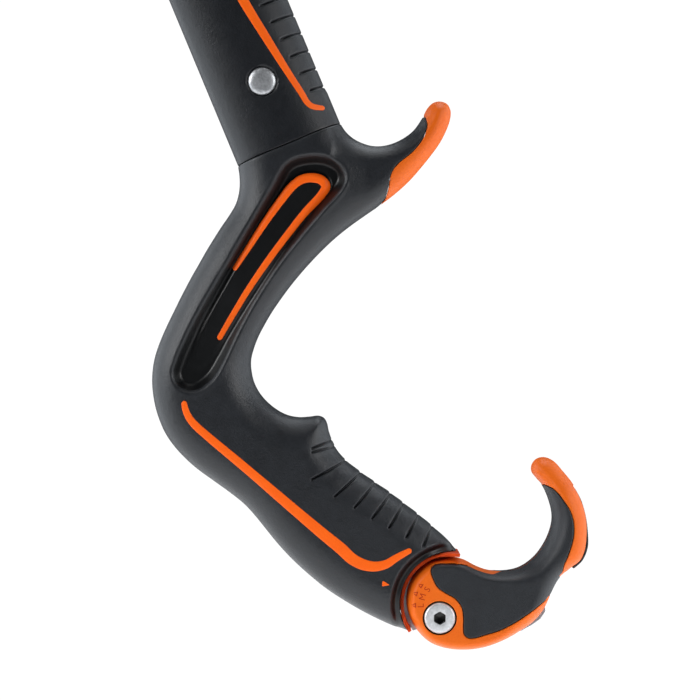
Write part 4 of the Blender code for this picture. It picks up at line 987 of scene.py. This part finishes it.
n_s = 480
s_mid = np.linspace(0.85, SLEEVE_LEN - 1.2, n_s)
s_list = [(0.12, 0.20), (0.2, 0.08), (0.34, 0.02)] + [(float(s), 0.0) for s in s_mid] + \
         [(SLEEVE_LEN - 0.8, 0.08), (SLEEVE_LEN - 0.35, 0.3), (SLEEVE_LEN, 0.8)]
tube_form("sleeve_form", s_list, lambda s: (SLEEVE_W, SLEEVE_T), lambda s: (15.5, 10.1), SLEEVE_P,
          230, SLEEVE, "upper_grip_sleeve", sleeve_relief)
sleeve = bpy.data.objects["sleeve_form"]
sleeve.data.materials.append(GLOSS_AND_SHADE)
# Faces along the rib grooves take the darker black: painted shade in the grooves.
sc = np.zeros(len(sleeve.data.polygons) * 3)
sleeve.data.polygons.foreach_get("center", sc)
sc = sc.reshape(-1, 3) / MM
s_c = (sc[:, 0] - SEAM[0]) * UP[0] + (sc[:, 2] - SEAM[1]) * UP[1]
a_c = (sc[:, 0] - SEAM[0]) * ACROSS[0] + (sc[:, 2] - SEAM[1]) * ACROSS[1]
cut = np.zeros(len(sc), bool)
for s0, a0 in zip(RIB_S, RIB_A):
    cut |= (np.abs(s_c - s0 - (a_c - a0) * 0.04) < 0.26) & (a_c > a0 + 0.1) & (a_c < a0 + 3.6)
sleeve.data.polygons.foreach_set("material_index", cut.astype(np.int32))
sleeve.data.update()
tube_s = [(0.3, 0.0)] + [(float(s), 0.0) for s in np.linspace(2, LONG - 3.2, 130)] + [(LONG - 3, 0.2)]
tube_form("shaft_tube_form", tube_s, lambda s: (15.2, 9.8), lambda s: (13.7, 8.3), 2.6, 96, SHAFT, "shaft_tube",
          curved=True)


def sleeve_height(x, z):
    a = (x - SEAM[0]) * ACROSS[0] + (z - SEAM[1]) * ACROSS[1]
    return SLEEVE_T * np.maximum(1 - np.abs(a / SLEEVE_W) ** SLEEVE_P, 0) ** (1 / SLEEVE_P)


def sleeve_pt(s, a):
    x, z = shaft_xz(np.array([s], float), np.array([a], float))
    return float(x[0]), float(z[0])


UPPER = [sleeve_pt(s, w) for s, w in ((85.8, 1.5), (68.0, 3.2), (50.9, 4.25), (36.5, 6.45), (22.3, 8.85), (13.4, 10.5),
                                      (10.6, 10.9), (9.0, 11.6), (8.0, 12.6), (7.1, 14.2), (6.4, 15.8))]
UPPER_W = [2.2, 3.0, 3.4, 3.0, 2.4, 2.15, 2.05, 2.0, 1.95, 1.8, 1.6]
for side, tag in ((-1, "near"), (1, "far")):
    strip(f"sleeve_stripe_{tag}_inlay", UPPER, UPPER_W, sleeve_height, side, STRIPE, "axe",
          f"upper_grip_stripe_{tag}", proud=0.14)
    tri_mark(f"pointer_{tag}_mark", POINTER, grip_height, side, STRIPE, "axe", f"size_pointer_{tag}")

rivet_y = SLEEVE_T * (1 - abs(RIVET_A / SLEEVE_W) ** SLEEVE_P) ** (1 / SLEEVE_P)
rp = [(0.15, -rivet_y - 0.30), (1.5, -rivet_y - 0.29), (2.6, -rivet_y - 0.24), (3.4, -rivet_y - 0.12),
      (4.0, -rivet_y + 0.08), (4.4, -rivet_y + 0.32), (4.65, -rivet_y + 0.62), (4.75, -rivet_y + 1.0), (4.75, -rivet_y + 1.9),
      (4.7, -10.3), (3.0, -10.2)]
rivet = rings_mesh("grip_rivet_form", turned_rings(RIVET_AT, rp + [(r, -y) for r, y in rp[::-1]], 80), RIVETM, "axe",
                   "grip_rivet", sharp=40)

# ============================================================== pommel
pom_line = curve(POMMEL, 0.5, True)
pad_line = curve(PAD + PAD_INNER, 0.5, True)


def pommel_distance(gx, gz):
    d = signed_distance(gx, gz, pom_line)
    soft = blur(d, 5)
    w = smooth(d, 1.6, 4.0)
    return d * (1 - w) + soft * w


POM_BOX = (25, -55, 96, 19)
D_POM = Field(POM_BOX, 0.2, pommel_distance)
D_PAD = Field(POM_BOX, 0.2, lambda a, b: signed_distance(a, b, pad_line))
bump_line = curve([(85.8, 5.2), (86.2, 4.4), (88.4, 0.2), (89.9, -5), (90.6, -10), (90.6, -15.8), (88.8, -20.2),
                   (85.8, -23), (85.0, -23.8)], 0.5)


def beside(line, out, inn):
    t = np.gradient(line, axis=0)
    t /= np.linalg.norm(t, axis=1)[:, None]
    n = np.stack([-t[:, 1], t[:, 0]], 1)
    return np.concatenate([line + n * out, (line - n * inn)[::-1]])


bump_room = beside(bump_line, 2.0, 2.7)
spike_shape = [(60.2, -30.5), (69.6, -28.8), (74.0, -31.4), (76.4, -35.2), (76.6, -37.8), (74.9, -40.3),
               (72.2, -42.3), (68.4, -44.4), (61, -45.6), (59.4, -41)]
sweep = np.concatenate([arc(PIVOT, 12.3, 241, 452, 60), arc(PIVOT, 21, 92, 241, 50)])
D_BUMP = Field(POM_BOX, 0.25, lambda a, b: signed_distance(a, b, bump_room))
D_SPIKE = Field(POM_BOX, 0.25, lambda a, b: signed_distance(a, b, np.array(spike_shape, float)))
D_SWEEP = Field(POM_BOX, 0.25, lambda a, b: signed_distance(a, b, sweep))


inner_edge = curve(POMMEL[10:19], 1.0)


def inner_distance(gx, gz):
    best = np.full(gx.shape, 1e9)
    for a, b in zip(inner_edge, inner_edge[1:]):
        best = np.minimum(best, segment_distance(gx, gz, a, b)[0])
    return best


D_IN = Field(POM_BOX, 0.3, inner_distance)


def pad_floor(x, z):
    """How far from the middle plane the pad starts: it wraps round the inside of the hook."""
    wrap = (1 - smooth(D_IN.at(x, z), 1.7, 3.3)) * smooth(x, 58, 62)
    back = 1 - smooth(np.hypot(x - 79.6, (z + 29.4) * 0.62), 2.0, 3.2)
    return 9.4 - 8.1 * np.maximum(wrap, back)


def pommel_radius(x, z):
    r = np.hypot(x - PIVOT[0], z - PIVOT[1])
    return 3.0 + 3.4 * smooth(r, 17, 34)


def pommel_half(x, z):
    return 14.0 - 3.6 * smooth(z, 1, 14) - 0.25 * smooth(x, 60, 76)


def pommel_raw(x, y, z, sh, x2, z2, grow=0.0):
    rs = lambda a: np.reshape(a, sh)
    d = rs(D_POM.at(x2, z2)) + grow
    rad, half = rs(pommel_radius(x2, z2)), rs(pommel_half(x2, z2)) + grow
    u = np.maximum(1 - d / rad, 0)
    yy = np.abs(y) / half
    return (1 - (u ** 2.2 + yy ** 2.6) ** (1 / 2.3)) * 10.0


def pommel_height(x, z):
    d = D_POM.at(x, z)
    u = np.maximum(1 - d / pommel_radius(x, z), 0)
    return pommel_half(x, z) * np.maximum(1 - u ** 2.2, 0) ** (1 / 2.6)


def pommel_field(part, side):
    def fn(x, y, z):
        x2, z2, sh = spread2(x, z)
        rs = lambda a: np.reshape(a, sh)
        r_s = rs(np.hypot(x2 - SCREW_AT[0], z2 - SCREW_AT[1]))
        if part == "pad":
            f = pommel_raw(x, y, z, sh, x2, z2, 0.18)
            f = lower(f, rs(D_PAD.at(x2, z2)) - 0.02, 0.5)
            return lower(f, side * y - rs(pad_floor(x2, z2)), 0.2)
        f = pommel_raw(x, y, z, sh, x2, z2)
        f = lower(f, side * y - 0.09, 0.15)
        room = np.minimum(rs(D_PAD.at(x2, z2)) + 0.16, side * y - rs(pad_floor(x2, z2)) + 0.3)
        f = lower(f, -room, 0.3)
        f = np.minimum(f, -np.minimum(rs(D_SWEEP.at(x2, z2)), 2.3 - side * y))
        f = np.minimum(f, -np.minimum(rs(D_SPIKE.at(x2, z2)) + 0.3, 1.8 - side * y))
        f = np.minimum(f, -np.minimum(rs(D_BUMP.at(x2, z2)), 6.3 - side * y))
        f = np.minimum(f, r_s - 3.15)
        if side < 0:
            f = lower(f, -np.minimum(5.70 - r_s, side * y - 10.5), 0.12)
        else:
            f = lower(f, -np.minimum(6.2 - r_s, side * y - 10.5), 0.3)
        return f
    return fn


for side, tag in ((-1, "near"), (1, "far")):
    lo, hi = sorted((side * -0.6, side * 14.9))
    moulded(f"pommel_shell_{tag}_form", pommel_field("shell", side), ((28, lo, -51.8), (92.4, hi, 16)), VOX_P,
            ORANGE, "pommel", f"pommel_shell_{tag}")
    shell = bpy.data.objects[f"pommel_shell_{tag}_form"]
    shell.data.materials.append(SEAT)
    pc = np.zeros(len(shell.data.polygons) * 3)
    shell.data.polygons.foreach_get("center", pc)
    pc = pc.reshape(-1, 3) / MM
    rr = np.hypot(pc[:, 0] - SCREW_AT[0], pc[:, 2] - SCREW_AT[1])
    shell.data.polygons.foreach_set("material_index", ((rr < 6.4) & (np.abs(pc[:, 1]) > 1) & (np.abs(pc[:, 1]) < 13.75)
                                                       ).astype(np.int32))
    shell.data.update()
    lo, hi = sorted((side * 0.9, side * 15.0))
    moulded(f"pommel_pad_{tag}_form", pommel_field("pad", side), ((35, lo, -50), (90, hi, 8)), VOX_P * 0.85,
            PADM, "pommel", f"pommel_pad_{tag}")

sheet_part("hook_bumper_form", [beside(bump_line[2:-2], 0, 2.4)], -6, 6, BLACK, "pommel", "hook_bumper",
           0.7, 4)
sheet_part("spike_plate_form", [np.array(spike_shape, float), round_hole((67.5, -36.2), 1.8, 32)], -1.5, 1.5, PLATE,
           "pommel", "spike_plate", 0.25, 3)
sheet_part("socket_liner_form", [np.concatenate([arc(PIVOT, 17.28, 80.5, 213, 60), arc(PIVOT, 16.1, 213, 80.5, 60)])],
           -12.6, 12.6, LINER, "axe", "socket_liner", 0.22, 3)
for v in bpy.data.objects["socket_liner_form"].data.vertices:
    t = math.degrees(math.atan2(v.co.z / MM - PIVOT[1], v.co.x / MM - PIVOT[0])) % 360
    v.co.y *= 1 - 0.34 * float(smooth(t, 92, 108) * (1 - smooth(t, 196, 209)))
socket_screw("pommel_screw_form", SCREW_AT, -14.30, -10.8, 5.25, 3.0, 13.2, 2.15, 2.5, SCREWM, "pommel",
             "pommel_screw", 0.55)
hex_nut("pommel_nut_form", SCREW_AT, 10.8, 14.0, 5.7, 3.3, BOLT, "pommel", "pommel_nut")

# ============================================================== head
HEAD = (float(np.interp(LONG, CS, CX)), float(np.interp(LONG, CS, CZ)))
HA = math.radians(9.0)


def hxy(f, u):
    f, u = np.asarray(f, float), np.asarray(u, float)
    return np.stack([HEAD[0] + math.cos(HA) * f + math.sin(HA) * u,
                     HEAD[1] - math.sin(HA) * f + math.cos(HA) * u], -1)


def hpts(points):
    p = np.asarray(points, float)
    return hxy(p[:, 0], p[:, 1])


def to_fu(x, z):
    dx, dz = x - HEAD[0], z - HEAD[1]
    return math.cos(HA) * dx - math.sin(HA) * dz, math.sin(HA) * dx + math.cos(HA) * dz


BLOCK = [(-17.2, -34), (17.2, -34), (17.6, -14), (24, -9), (36, -6), (40, -1), (40.5, 12), (37, 18), (26, 21.5),
         (4, 23), (-18, 22), (-28, 19.5), (-30, 15), (-30, -1), (-26, -7), (-18.5, -12)]
block_line = curve(BLOCK[1:] + [(-17.2, -34)], 0.8)
D_BLOCK = Field((-36, -40, 46, 30), 0.3, lambda a, b: signed_distance(a, b, block_line))


def block_field(x, y, z):
    x2, z2, sh = spread2(x, z)
    rs = lambda a: np.reshape(a, sh)
    f0, u0 = to_fu(x2, z2)
    d = rs(D_BLOCK.at(f0, u0))
    f3, u3 = rs(f0), rs(u0)
    neck = smooth(-u3, 8, 30)
    half = 13.0
    u = np.maximum(1 - d / 3.6, 0)
    f = (1 - (u ** 2.3 + (np.abs(y) / half) ** 2.9) ** (1 / 2.4)) * 10
    f = lower(f, 13.0 - np.abs(y), 0.3)
    # the lower part is bored out round the shaft, leaving cheeks
    bore = (1 - ((np.abs(f3) / 15.5) ** 2.6 + (np.abs(y) / 10.1) ** 2.6) ** (1 / 2.6)) * 10
    f = np.minimum(f, -np.minimum(bore, -2.4 - u3 + 0 * y))
    f = lower(f, -np.minimum(2.3 - np.abs(y), u3 + 2.3), 0.4)
    for bf in (27.0, -19.0):
        r = np.hypot(f3 - bf, u3 - 7.0)
        f = np.minimum(f, r - 4.3)
        f = lower(f, -np.minimum(7.6 - r, np.abs(y) - 9.6), 0.4)
    for bf in (-7.2, 7.2):
        r = np.hypot(f3 - bf, u3 + 23.0)
        f = np.minimum(f, r - 2.8)
    return f


corn = np.array([hxy(a, b) for a in (-33, 43.5) for b in (-37, 26)])
blo, bhi = corn.min(0), corn.max(0)
moulded("head_block_form", block_field, ((blo[0], -13.6, blo[1]), (bhi[0], 13.6, bhi[1])), 0.55,
        HEADM, "axe", "head_block")

PICK_TOP = [(-6, 20.5), (20, 20.6), (40, 19.4), (62, 14.5), (86, 6), (110, -5.5), (132, -19), (150, -33),
            (160, -43.5)]
PICK_UNDER = [(156, -43.6), (140, -34.6), (118, -24.6), (96, -16), (74, -8.6), (56, -3.6), (44, -1.6)]


def teeth(line, first, grow, depth):
    p = curve(line, 0.4)
    run = np.concatenate([[0], np.cumsum(np.linalg.norm(np.diff(p, axis=0), axis=1))])

    def at(d):
        q = np.array([np.interp(d, run, p[:, 0]), np.interp(d, run, p[:, 1])])
        q2 = np.array([np.interp(d + 0.5, run, p[:, 0]), np.interp(d + 0.5, run, p[:, 1])])
        t = (q2 - q) / max(np.linalg.norm(q2 - q), 1e-9)
        return q, np.array([-t[1], t[0]])

    out, s, pitch = [], 2.0, first
    while s + pitch < run[-1] - 3:
        q, n = at(s)
        out.append(q)
        for k, dd in ((0.10, 0.55), (0.20, 0.92), (0.30, 1.0), (0.45, 0.86), (0.65, 0.55), (0.85, 0.2)):
            q, n = at(s + pitch * k)
            out.append(q - n * depth * dd)
        s += pitch
        pitch = min(pitch * grow, 7.2)
    out.append(at(s)[0])
    out.append(p[-1])
    return out


pick_shape = list(curve(PICK_TOP, 1.5)) + [np.array((159.4, -46.2))] + teeth(PICK_UNDER, 4.6, 1.03, 2.0) + \
             [np.array(p) for p in ((42, -1.9), (-8, -1.9), (-8, 18))]
sheet_part("pick_form", [hpts(pick_shape), round_hole(hxy(27, 7), 4.3, 48),
                         round_hole(hxy(54, 7.5), 3.0, 40)], -2, 2, FORGED, "axe", "pick", 0.35, 3, 25)

HAM = [(-30.6, -1), (-30.6, 17), (-40, 16), (-48, 17.5), (-60, 18.5), (-60, -3.5), (-48, -2.5), (-40, -0.8)]
ham_line = curve(HAM[:5], 0.6)
ham_line = np.concatenate([ham_line, curve(HAM[5:] + [HAM[0]], 0.6)])
D_HAM = Field((-66, -10, -4, 26), 0.25, lambda a, b: signed_distance(a, b, ham_line))


def hammer_field(x, y, z):
    x2, z2, sh = spread2(x, z)
    rs = lambda a: np.reshape(a, sh)
    f0, u0 = to_fu(x2, z2)
    d = rs(D_HAM.at(f0, u0))
    f3, u3 = rs(f0), rs(u0)
    waist = 10.0 - 2.2 * np.exp(-((f3 + 40) / 7.0) ** 2)
    u = np.maximum(1 - d / 2.2, 0)
    block = (1 - (u ** 2.4 + (np.abs(y) / waist) ** 3.4) ** (1 / 2.6)) * 8
    tongue = np.minimum(np.minimum(2.0 - np.abs(y), f3 + 33), np.minimum(-9.2 - f3, np.minimum(u3 + 1.9, 19.3 - u3)))
    f = np.maximum(block, tongue)
    return np.minimum(f, np.hypot(f3 + 19, u3 - 7) - 4.3)


corn = np.array([hxy(a, b) for a in (-61.5, -8) for b in (-5, 21)])
blo, bhi = corn.min(0), corn.max(0)
moulded("hammer_form", hammer_field, ((blo[0], -10.6, blo[1]), (bhi[0], 10.6, bhi[1])), 0.45,
        FORGED, "axe", "hammer")

WEIGHT_O = [(43.5, 0), (43.5, 14.5), (48, 18.5), (60, 15.6), (67, 11.6), (69.5, 6), (66, 0.6), (58, -2.2),
            (48, -1.8)]
for side, tag in ((-1, "near"), (1, "far")):
    lo, hi = sorted((side * 2.3, side * 9.5))
    sheet_part(f"pick_weight_{tag}_form", [hpts(curve(WEIGHT_O, 0.8, True)),
                                           round_hole(hxy(54, 7.5), 5.3 if side < 0 else 6.0, 56)], lo, hi, WEIGHT,
               "axe", f"pick_weight_{tag}", 1.3, 5, 30)
for label, at in (("pick", hxy(27, 7)), ("hammer", hxy(-19, 7))):
    socket_screw(f"{label}_bolt_form", at, -13.4, -9.9, 7.0, 4.0, 13.4, 3.46, 2.4, BOLT, "axe", f"{label}_bolt", 0.6)
    hex_nut(f"{label}_nut_form", at, 9.9, 13.7, 7.2, 4.3, BOLT, "axe", f"{label}_nut")
socket_screw("weight_screw_form", hxy(54, 7.5), -9.75, -6.7, 4.8, 2.7, 9.0, 2.31, 1.9, BOLT, "axe", "weight_screw",
             0.45)
hex_nut("weight_nut_form", hxy(54, 7.5), 6.7, 9.6, 5.5, 3.0, BOLT, "axe", "weight_nut")
for i, f0 in enumerate((-7.2, 7.2)):
    rp = [(0.15, -14.3), (1.4, -14.25), (2.4, -14.1), (3.2, -13.85), (3.8, -13.5), (4.0, -13.3), (3.9, -13.15),
          (2.5, -13.1)]
    rings_mesh(f"head_rivet_{i + 1}_form", turned_rings(hxy(f0, -23), rp + [(r, -y) for r, y in rp[::-1]], 56), BOLT,
               "axe", f"head_rivet_{i + 1}", sharp=40)

# ============================================================== CAD nodes that stay
STAY = {"handle_core": BLACK, "pivot_plate": PLATE, "pivot_plate_pin_1": BOLT, "pivot_plate_pin_2": BOLT,
        "pommel_dowel_1": BOLT, "pommel_dowel_2": BOLT}
for n, m in STAY.items():
    ob = bpy.data.objects.get(n)
    for s in ob.material_slots:
        s.material = m

# ============================================================== marks on the near shell
def letter(name, text, at, size, turn):
    cu = bpy.data.curves.new(name, "FONT")
    cu.body = text
    cu.size = size * MM
    cu.align_x = "CENTER"
    cu.align_y = "CENTER"
    cu.extrude = 0.02 * MM
    tmp = bpy.data.objects.new(name + "_c", cu)
    bpy.context.scene.collection.objects.link(tmp)
    mesh = bpy.data.meshes.new_from_object(tmp.evaluated_get(bpy.context.evaluated_depsgraph_get()))
    bpy.data.objects.remove(tmp, do_unlink=True)
    ca, sa = math.cos(turn), math.sin(turn)
    for v in mesh.vertices:
        x, z = v.co.x * ca - v.co.y * sa + at[0] * MM, v.co.x * sa + v.co.y * ca + at[1] * MM
        h = float(pommel_height(np.array([x / MM]), np.array([z / MM]))[0])
        v.co = (x, -(h + 0.02) * MM - v.co.z, z)
    mesh.materials.clear()
    mesh.materials.append(INK)
    ob = bpy.data.objects.new(name, mesh)
    bpy.context.scene.collection.objects.link(ob)
    bm = bmesh.new()
    bm.from_mesh(mesh)
    bmesh.ops.remove_doubles(bm, verts=bm.verts, dist=1e-7)
    bmesh.ops.recalc_face_normals(bm, faces=bm.faces)
    bm.to_mesh(mesh)
    bm.free()
    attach(ob, "pommel")


def outward(at):
    return math.atan2(at[1] - PIVOT[1], at[0] - PIVOT[0])


for i, (ch, at) in enumerate((("S", (36.2, -29.3)), ("M", (34.6, -31.8)), ("L", (34.0, -34.7)))):
    letter(f"size_letter_{i + 1}", ch, at, 3.0, outward(at) - math.pi / 2)
for i, at in enumerate(((33.7, -27.9), (32.0, -30.6), (31.5, -34.6))):
    d = np.array([math.cos(outward(at)), math.sin(outward(at))])
    n = np.array([-d[1], d[0]])
    tip = [np.array(at) + d * 1.15, np.array(at) - d * 0.85 + n * 0.85, np.array(at) - d * 0.85 - n * 0.85]
    mid = sum(tip) / 3
    rows = []
    for k, lift in ((1.0, -0.3), (1.0, 0.03), (0.45, 0.03), (0.45, -0.3)):
        c3 = [mid + (q - mid) * k for q in tip]
        ring = np.array([c3[j] + (c3[(j + 1) % 3] - c3[j]) * t for j in range(3) for t in (0, 0.25, 0.5, 0.75)])
        rows.append(np.stack([ring[:, 0], -(pommel_height(ring[:, 0], ring[:, 1]) + lift), ring[:, 1]], 1))
    rings_mesh(f"size_arrow_{i + 1}", rows, INK, "pommel", None, hollow=True)

# ============================================================== camera, light, floor
cam = bpy.data.cameras.new("camera")
cam.lens = 150
cam.sensor_width = 36
cam_ob = bpy.data.objects.new("camera", cam)
cam_ob.location = (0.0102, -0.9917, 0.051)
cam_ob.rotation_euler = (math.radians(90), 0, 0)
bpy.context.scene.collection.objects.link(cam_ob)
bpy.context.scene.camera = cam_ob


def area(name, loc, target, size, power, color=(1, 1, 1)):
    li = bpy.data.lights.new(name, "AREA")
    li.shape = "RECTANGLE"
    li.size, li.size_y = size
    li.energy = power
    li.color = color
    ob = bpy.data.objects.new(name, li)
    ob.location = loc
    ob.rotation_euler = (Vector(target) - Vector(loc)).to_track_quat("-Z", "Y").to_euler()
    bpy.context.scene.collection.objects.link(ob)
    return ob


COOL = (0.90, 0.95, 1.0)
area("left_softbox", (-0.95, -0.12, 0.15), (0, 0, 0.05), (0.55, 1.3), 6.5, COOL)
area("left_back", (-0.80, 0.55, 0.10), (0, 0, 0.05), (0.70, 1.3), 5.5, COOL)
area("right_strip", (0.85, -0.02, 0.10), (0, 0, 0.05), (0.30, 1.1), 4.0, COOL)
area("top_back", (0.20, 0.45, 1.0), (0, 0, 0), (0.9, 0.6), 5.0, COOL)
area("right_back", (0.75, 0.55, 0.10), (0, 0, 0.05), (0.60, 1.2), 3.0, COOL)
area("key_left", (-1.15, -0.72, 0.55), (0, 0, 0.05), (0.5, 0.5), 10)
area("key_right", (1.05, -0.75, 0.35), (0, 0, 0.05), (0.5, 0.5), 7)
area("top", (0.0, -0.1, 1.25), (0, 0, 0.1), (0.8, 0.6), 3)

world = bpy.data.worlds.new("studio")
bpy.context.scene.world = world
world.use_nodes = True
wn = world.node_tree
bg = wn.nodes["Background"]
bg.inputs["Color"].default_value = (0.80, 0.90, 1.0, 1)
bg.inputs["Strength"].default_value = 0.06
bg2 = wn.nodes.new("ShaderNodeBackground")
bg2.inputs["Color"].default_value = (1, 1, 1, 1)
bg2.inputs["Strength"].default_value = 1.05
lp = wn.nodes.new("ShaderNodeLightPath")
mx = wn.nodes.new("ShaderNodeMixShader")
wn.links.new(lp.outputs["Is Camera Ray"], mx.inputs[0])
wn.links.new(bg.outputs[0], mx.inputs[1])
wn.links.new(bg2.outputs[0], mx.inputs[2])
wn.links.new(mx.outputs[0], wn.nodes["World Output"].inputs["Surface"])

fm = bpy.data.meshes.new("floor")
fa = np.arange(128) * 2 * math.pi / 128
fm.from_pydata([(0.5 * math.cos(a), 0.5 * math.sin(a), -0.16) for a in fa], [], [tuple(range(128))])
floor = bpy.data.objects.new("floor", fm)
bpy.context.scene.collection.objects.link(floor)
FM, fnt, fbs = nodes_of("floor_paper")
fbs.inputs["Base Color"].default_value = (0.93, 0.93, 0.93, 1)
fbs.inputs["Roughness"].default_value = 0.9
fbs.inputs["Emission Color"].default_value = (1, 1, 1, 1)
fbs.inputs["Emission Strength"].default_value = 0.6
fm.materials.append(FM)

bpy.context.scene.view_settings.view_transform = "Standard"
bpy.context.scene.view_settings.look = "None"
